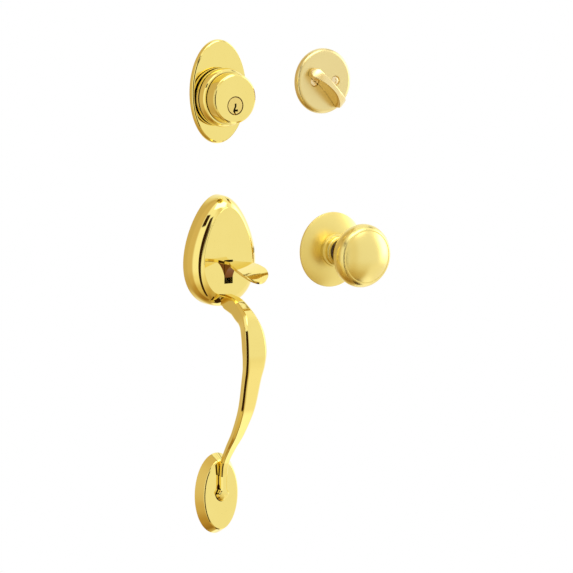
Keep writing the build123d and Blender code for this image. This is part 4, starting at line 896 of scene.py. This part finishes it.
foot_front = ROSE_DEPTH + LEG_THICK
leg_start = FOOT_Z + 10.0
fall = leg_start - GRIP_ROOT_Z
upper = ((0.0, 0.0, 0.43, 1.1), (0.012, 0.32, 0.48, 1.25), (0.043, 0.547, 0.56, 1.27),
         (0.086, 0.752, 0.66, 1.18), (0.162, 0.923, 0.9, 1.05), (0.261, 1.0, 1.0, 1.0))
lower = ((0.35, 0.972, 0.94, 0.85), (0.435, 0.889, 0.83, 0.73), (0.6, 0.736, 0.71, 0.67),
         (0.745, 0.474, 0.55, 0.59), (0.838, 0.234, 0.43, 0.5), (0.92, 0.054, 0.34, 0.43))
stations = [(ESC_DEPTH - buried, GRIP_ROOT_Z + raised, GRIP_ROOT_WIDTH, GRIP_ROOT_THICK - thinned)
            for buried, raised, thinned in ((10.0, 0.6, 4.2), (5.0, 0.3, 2.6))]
for spans, face in ((upper, ESC_DEPTH), (lower, foot_front)):
    for share, out, wide, thick in spans:
        stations.append((face + out * (GRIP_REACH - face), GRIP_ROOT_Z + share * fall,
                         wide * GRIP_WIDTH, thick * GRIP_THICK))
stations.append((foot_front, leg_start, LEG_WIDTH, LEG_THICK))


def grip_outline(width, thick, bevel):
    """Half section of the grip from the middle of its front round to the middle of its back."""
    half_width = width / 2
    back = half_width * 0.92
    corner = min(thick * 0.32, half_width * 0.6)
    bend = corner * 0.2929
    edge = bevel * 0.18
    shoulder = half_width - bevel * BEVEL_RUN
    line = [(0, 0), (shoulder * 0.4, 0), (shoulder * 0.8, 0), (shoulder - edge, 0)]
    line += [(shoulder, -edge * 0.2)]
    line += [(shoulder + bevel * BEVEL_RUN * t, -bevel * t) for t in (0.14, 0.22, 0.5, 0.8, 0.88)]
    line += [(half_width - edge * 0.2, -bevel), (half_width, -bevel - edge)]
    for i in (1, 2, 3, 4):
        t = i / 4
        line.append((half_width + (back - half_width) * t, -bevel + (corner - thick + bevel) * t))
    line += arc((back, corner - thick), (back - bend, bend - thick), (back - corner, -thick), 8)[1:]
    line += [((back - corner) * 0.5, -thick), (0, -thick)]
    return line


grip_path = through(stations, 14)
grip_rings = []
for i, (depth, height, width, thick) in enumerate(grip_path):
    before = grip_path[max(i - 1, 0)]
    after = grip_path[min(i + 1, len(grip_path) - 1)]
    run = Vector((before[0] - after[0], after[1] - before[1])).normalized()
    outline = grip_outline(width, thick, GRIP_BEVEL * min(1.0, 1.6 * width / GRIP_WIDTH))
    outline += [(-across, inward) for across, inward in reversed(outline[1:-1])]
    grip_rings.append([(across, depth - inward * run.y, height + inward * -run.x)
                       for across, inward in outline])
# Painted shadow: a dark brown band is coloured into the finish at the leg's base, where it stands on the
# lower rose.
grip_brass = metal("grip_brass", BRASS_TONE, BRASS_DEEP, MIRROR, 0.02,
                   shade_bands=((ROSE_DEPTH - 0.1, ROSE_DEPTH + 1.1),))
grip = solid_of_rings("cast_grip", grip_rings, grip_brass, crease=30.0)
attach(grip, "trim")


def tail_outline(half_width, flare, start, waist, end):
    """Outline of the leg: straight sides that flare into a rounded tail."""
    bulb = end + flare
    side = [(half_width, start), (half_width, waist)]
    for i in range(1, 13):
        t = i / 12
        ease = t * t * (3 - 2 * t)
        side.append((half_width + (flare - half_width) * (0.8 * ease + 0.2 * t * t),
                     waist + (bulb - waist) * t))
    side += arc((flare, bulb), (flare * 0.62, end + flare * 0.3), (0, end), 10)[1:]
    return side + [(-px, pz) for px, pz in reversed(side[:-1])]


base = (ROSE_DEPTH, 0.0, 0.0, 1.0, 0.0)
brow = (foot_front - LEG_ARRIS, 0.1, 1.1, -0.5, 2.4)
crown = (foot_front, 0.1 + LEG_ARRIS, 2.8, -0.5, 5.0)
leg_rings = []
for depth, narrowed, flare_cut, waist, raised in (base, brow, crown):
    outline = tail_outline(LEG_WIDTH / 2 - narrowed, TAIL_FLARE / 2 - flare_cut, FOOT_Z + 10.5,
                           FOOT_Z + waist, LEG_END + raised)
    leg_rings.append([(px, depth, pz) for px, pz in outline])
leg = solid_of_rings("leg", leg_rings, grip_brass, crease=30.0)
foot_post = tube("post", 2.575, 4.6, 0.4, ROSE_DEPTH + 0.3, 0, FOOT_Z, grip_brass)
join(grip, [leg, foot_post])
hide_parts("grip")

# Lower rose. A hollow oval brass rose with a steep bevelled rim, flat on the door. The foot of the
# grip stands on its face, and the post under the foot goes down inside it.
ROSE_HALF_WIDTH = 21.8
ROSE_HALF_HEIGHT = 35.8
ROSE_BEVEL = 5.6
ROSE_ARRIS = 1.0
ROSE_WALL = 2.0
foot_x, foot_z = middle("lower_rose")
lower_rose = cover("oval_lower_rose", ROSE_HALF_WIDTH, ROSE_HALF_HEIGHT, ROSE_DEPTH, ROSE_BEVEL,
                   ROSE_WALL, ROSE_BEVEL - 0.6, foot_x, foot_z, arris=ROSE_ARRIS, steep=True)
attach(lower_rose, "trim")
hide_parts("lower_rose")

# Thumbpiece. A cast brass lever: a dished leaf that droops at its end, on a narrow tongue that goes
# through the slot, with a hollow-curved web under it. Tongue and web are painted dark brown as shade.
PADDLE_REACH = 71.4
PADDLE_HALF = 14.0
PADDLE_THICK = 2.6
PADDLE_DISH = 0.9
PIVOT_DEPTH = 14.0
PIVOT_Z = -10.0
KNUCKLE = 2.9
TONGUE_HALF = 4.0
reach = PADDLE_REACH - ESC_DEPTH
droop = [(-0.05, -6.6), (0.2, -6.1), (0.39, -6.4), (0.58, -8.1), (0.78, -11.4), (0.93, -15.6),
         (1.06, -20.4)]
plan = [(-0.04, 0.285), (0.19, 0.40), (0.35, 0.71), (0.49, 0.90), (0.68, 1.0)]
droop_line = through([(ESC_DEPTH + reach * out, z) for out, z in droop], 16)
plan_line = through([(ESC_DEPTH + reach * out, PADDLE_HALF * wide) for out, wide in plan], 12)
shoulder = ESC_DEPTH + reach * 0.68


def read_off(line, depth):
    """Value at a depth on a line of (depth, value) points, or its last one beyond it."""
    for (d0, v0), (d1, v1) in zip(line, line[1:]):
        if d0 <= depth <= d1:
            return v0 + (v1 - v0) * (depth - d0) / (d1 - d0)
    return line[-1][1]


def half_at(depth):
    """Half the leaf's width at a depth."""
    if depth >= shoulder:
        t = min((depth - shoulder) / (PADDLE_REACH - shoulder), 1.0)
        return max(PADDLE_HALF * math.sqrt(1 - t * t), 0.02)
    return read_off(plan_line, depth)


paddle_depths = [ESC_DEPTH - 2 + (shoulder - ESC_DEPTH + 2) * i / 40 for i in range(40)]
paddle_depths += [shoulder + (PADDLE_REACH - shoulder) * math.sin(math.pi / 2 * i / 40) for i in range(41)]
paddle_rings = []
for depth in paddle_depths:
    wide = half_at(depth)
    slope = (read_off(droop_line, depth + 0.4) - read_off(droop_line, depth - 0.4)) / 0.8
    lean_out = Vector((slope, 1.0)).normalized()
    lip = min(0.9, wide * 0.5)
    top_side = []
    for i in range(13):
        across = (-1 + 2 * i / 12) * (wide - lip * 0.3)
        top_side.append((across, -PADDLE_DISH * (1 - (across / (PADDLE_HALF + 1.5)) ** 2)))
    rim_top = top_side[-1][1]
    rim = [(wide - lip * 0.05, rim_top - lip * 0.3), (wide, rim_top - PADDLE_THICK * 0.5),
           (wide - lip * 0.05, rim_top - PADDLE_THICK + lip * 0.3)]
    ring = top_side + rim + [(across, drop - PADDLE_THICK) for across, drop in reversed(top_side)]
    ring += [(-across, drop) for across, drop in reversed(rim)]
    z = read_off(droop_line, depth)
    paddle_rings.append([(across, depth - drop * lean_out.x, z + drop * lean_out.y)
                         for across, drop in ring])
paddle = solid_of_rings("thumb_lever", paddle_rings, bright_brass, crease=40.0)

tail_back = 2.6
tail_top = PIVOT_Z - 0.7
tail_low = PIVOT_Z - 3.6
lip_z = SLOT_BOTTOM + 5.3
web = [(PIVOT_DEPTH, PIVOT_Z + KNUCKLE), (ESC_DEPTH + 1, PIVOT_Z + KNUCKLE - 0.1), (ESC_DEPTH + 20, -7.6)]
web += arc((ESC_DEPTH + 20, -8.8), (ESC_DEPTH + 5, -13.6), (ESC_DEPTH, lip_z), 20)
web += [(ESC_DEPTH - 3, lip_z - 0.3), (PIVOT_DEPTH - 1, tail_low - 1), (tail_back, tail_low),
        (tail_back, tail_top), (PIVOT_DEPTH - KNUCKLE, tail_top)]
web += arc((PIVOT_DEPTH - KNUCKLE, PIVOT_Z), (PIVOT_DEPTH - KNUCKLE * 0.7071, PIVOT_Z + KNUCKLE * 0.7071),
           (PIVOT_DEPTH, PIVOT_Z + KNUCKLE), 6)[:-1]
# Painted shade: the tongue and web are dark brown brass that stands in for the shade under the leaf.
painted_shade_brass = metal("painted_shade_brass", (0.20, 0.075, 0.02), (0.15, 0.05, 0.012), 0.14, 0.06)
tongue = solid_of_rings("tongue", [[(side, depth, z) for depth, z in web]
                                   for side in (-TONGUE_HALF, TONGUE_HALF)], painted_shade_brass)
FINGER_INNER = 6.8
FINGER_WIDTH = 4.8
finger_outer = FINGER_INNER + FINGER_WIDTH
bar_outline = box_outline(-finger_outer, 0, tail_low, tail_top)
finger_outline = box_outline(-finger_outer, -FINGER_INNER, tail_low, PIVOT_Z + 7.0)
cross_bar = prism("cross", bar_outline, tail_back, tail_back + 4, 0, 0, bright_brass)
finger = prism("finger", finger_outline, tail_back, tail_back + 2.2, 0, 0, bright_brass)
join(paddle, [tongue, cross_bar, finger])
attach(paddle, "thumb")
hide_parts("thumbpiece")

# Knob rosette. A spun brass rosette, shallow and domed, with a stepped collar round the knob's neck.
# The nylon bushing that the knob turns in sits inside the collar.
KNOB_ROSE = 33.3
KNOB_ROSE_RIM = 1.6
KNOB_ROSE_RISE = 7.4
KNOB_ROSE_WALL = 1.3
ROSETTE_DOME = 0.9
NECK_COLLAR = 14.4
NECK_COLLAR_DEPTH = 16.5
SLEEVE = 9.0
knob_x, knob_z = middle("knob_rosette")
rim = (KNOB_ROSE, KNOB_ROSE_RIM)
foot = (NECK_COLLAR + 1.6, KNOB_ROSE_RISE)
inner_rim = (KNOB_ROSE - KNOB_ROSE_WALL, KNOB_ROSE_RIM - 0.5 * KNOB_ROSE_WALL)
inner_foot = (NECK_COLLAR + 1.6 - 0.4 * KNOB_ROSE_WALL, KNOB_ROSE_RISE - KNOB_ROSE_WALL)
bore = SLEEVE + 1.0
rosette_line = [(bore, KNOB_ROSE_RISE - KNOB_ROSE_WALL)]
inner_via = ((inner_rim[0] + inner_foot[0]) / 2, (inner_rim[1] + inner_foot[1]) / 2 + ROSETTE_DOME)
rosette_line += arc(inner_foot, inner_via, inner_rim, 16)
rosette_line += [(inner_rim[0], 0), (KNOB_ROSE, 0)]
rosette_line += arc(rim, ((rim[0] + foot[0]) / 2, (rim[1] + foot[1]) / 2 + ROSETTE_DOME), foot, 24)
rosette_line += [(NECK_COLLAR, KNOB_ROSE_RISE), (NECK_COLLAR, KNOB_ROSE_RISE + 1.7),
                 (NECK_COLLAR - 1.6, KNOB_ROSE_RISE + 2.4), (NECK_COLLAR - 1.6, NECK_COLLAR_DEPTH - 3.0),
                 (NECK_COLLAR - 2.6, NECK_COLLAR_DEPTH - 2.2), (NECK_COLLAR - 2.6, NECK_COLLAR_DEPTH),
                 (bore, NECK_COLLAR_DEPTH), (bore, KNOB_ROSE_RISE - KNOB_ROSE_WALL)]
spun_brass = metal("spun_brass", (0.86, 0.71, 0.245), (0.83, 0.67, 0.215), 0.33, 0.03)
rosette = turned("spun_rosette", eased(rosette_line, 0.3), knob_x, knob_z, spun_brass)
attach(rosette, "trim")
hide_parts("knob_rosette")

# Knob. A hollow brass knob spun in two halves: a neck that flares into the back, a full waist, a
# soft crease and a shallow domed face.
KNOB = 27.8
KNOB_WAIST = 48.5
KNOB_DEPTH = 64.2
KNOB_NECK = 10.5
KNOB_WALL = 1.5
NECK_STRAIGHT = 4.7
CREASE_INSET = 5.2
CREASE_RISE = 7.9
neck_depth = NECK_COLLAR_DEPTH + 0.8
crease_point = (KNOB - CREASE_INSET, KNOB_WAIST + CREASE_RISE)
neck_end = neck_depth + NECK_STRAIGHT
swell = ((0, 0), (0.287, 0.283), (0.58, 0.498), (0.822, 0.679), (0.962, 0.841), (1, 1))
bulge = [(KNOB_NECK + out * (KNOB - KNOB_NECK), neck_end + along * (KNOB_WAIST - neck_end))
         for out, along in swell]
bulge += [(KNOB - 0.8, KNOB_WAIST + 3.4), (KNOB - 2.6, KNOB_WAIST + 6.4), (KNOB - 4.5, KNOB_WAIST + 8.0),
          crease_point]
rise = KNOB_DEPTH - crease_point[1]
ball = (crease_point[0] ** 2 + rise ** 2) / (2 * rise)
half_angle = math.asin(crease_point[0] / ball) / 2
crown_point = (ball * math.sin(half_angle), KNOB_DEPTH - ball + ball * math.cos(half_angle))
knob_line = [(0, KNOB_DEPTH - KNOB_WALL)]
knob_line += arc((0.001, KNOB_DEPTH - KNOB_WALL), (crown_point[0], crown_point[1] - KNOB_WALL),
                 (crease_point[0] - 0.9, crease_point[1] - 1.0), 12)[1:]
hollow = ((1, 1), (0.915, 0.815), (0.56, 0.528), (0, 0.151))
knob_bore = SLEEVE + 0.05
knob_line += [(knob_bore + out * (KNOB - KNOB_WALL - knob_bore), neck_end + along * (KNOB_WAIST - neck_end))
              for out, along in hollow]
knob_line += [(knob_bore, neck_depth), (KNOB_NECK, neck_depth)]
knob_line += through(bulge, 8)
knob_line += arc(crease_point, crown_point, (0.0, KNOB_DEPTH), 28)[1:-1] + [(0, KNOB_DEPTH)]
# Painted shade: a dark brown band is coloured into the finish at the base of the knob's neck.
knob_brass = metal("knob_brass", (0.87, 0.72, 0.26), (0.84, 0.68, 0.23), 0.23, 0.03,
                   shade_bands=((neck_depth - 0.2, neck_depth + 3.4),))
knob = turned("spun_knob", knob_line, knob_x, knob_z, knob_brass, 160, crease=50.0)
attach(knob, "knob_unit")
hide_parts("knob")

# Steel, springs and nylon. The inner works keep their own solids: zinc-plated steel plates, bolts
# and spindle, oiled spring steel, turned lock brass and a nylon bushing.
plated_steel = metal("plated_steel", (0.62, 0.62, 0.60), (0.50, 0.50, 0.49), 0.28, 0.12, 0.15, 500.0)
spring_steel = metal("spring_steel", (0.32, 0.31, 0.31), (0.22, 0.22, 0.23), 0.30, 0.12, 0.10, 700.0)
lock_brass = metal("lock_brass", (0.70, 0.52, 0.22), (0.60, 0.43, 0.17), 0.24, 0.10, 0.12, 700.0)
nylon = bpy.data.materials.new("nylon")
nylon.use_nodes = True
nylon_body = nylon.node_tree.nodes["Principled BSDF"]
nylon_body.inputs["Base Color"].default_value = (0.80, 0.78, 0.70, 1)
nylon_body.inputs["Roughness"].default_value = 0.45
finishes = {"plated_steel": plated_steel, "spring_steel": spring_steel, "lock_brass": lock_brass,
            "nylon": nylon, "polished_brass": bright_brass}
for part in frame["record"]["subparts"]:
    solid = frame["nodes"][part["node"]]
    for place in solid.material_slots:
        place.material = finishes[part["material_slot"]]
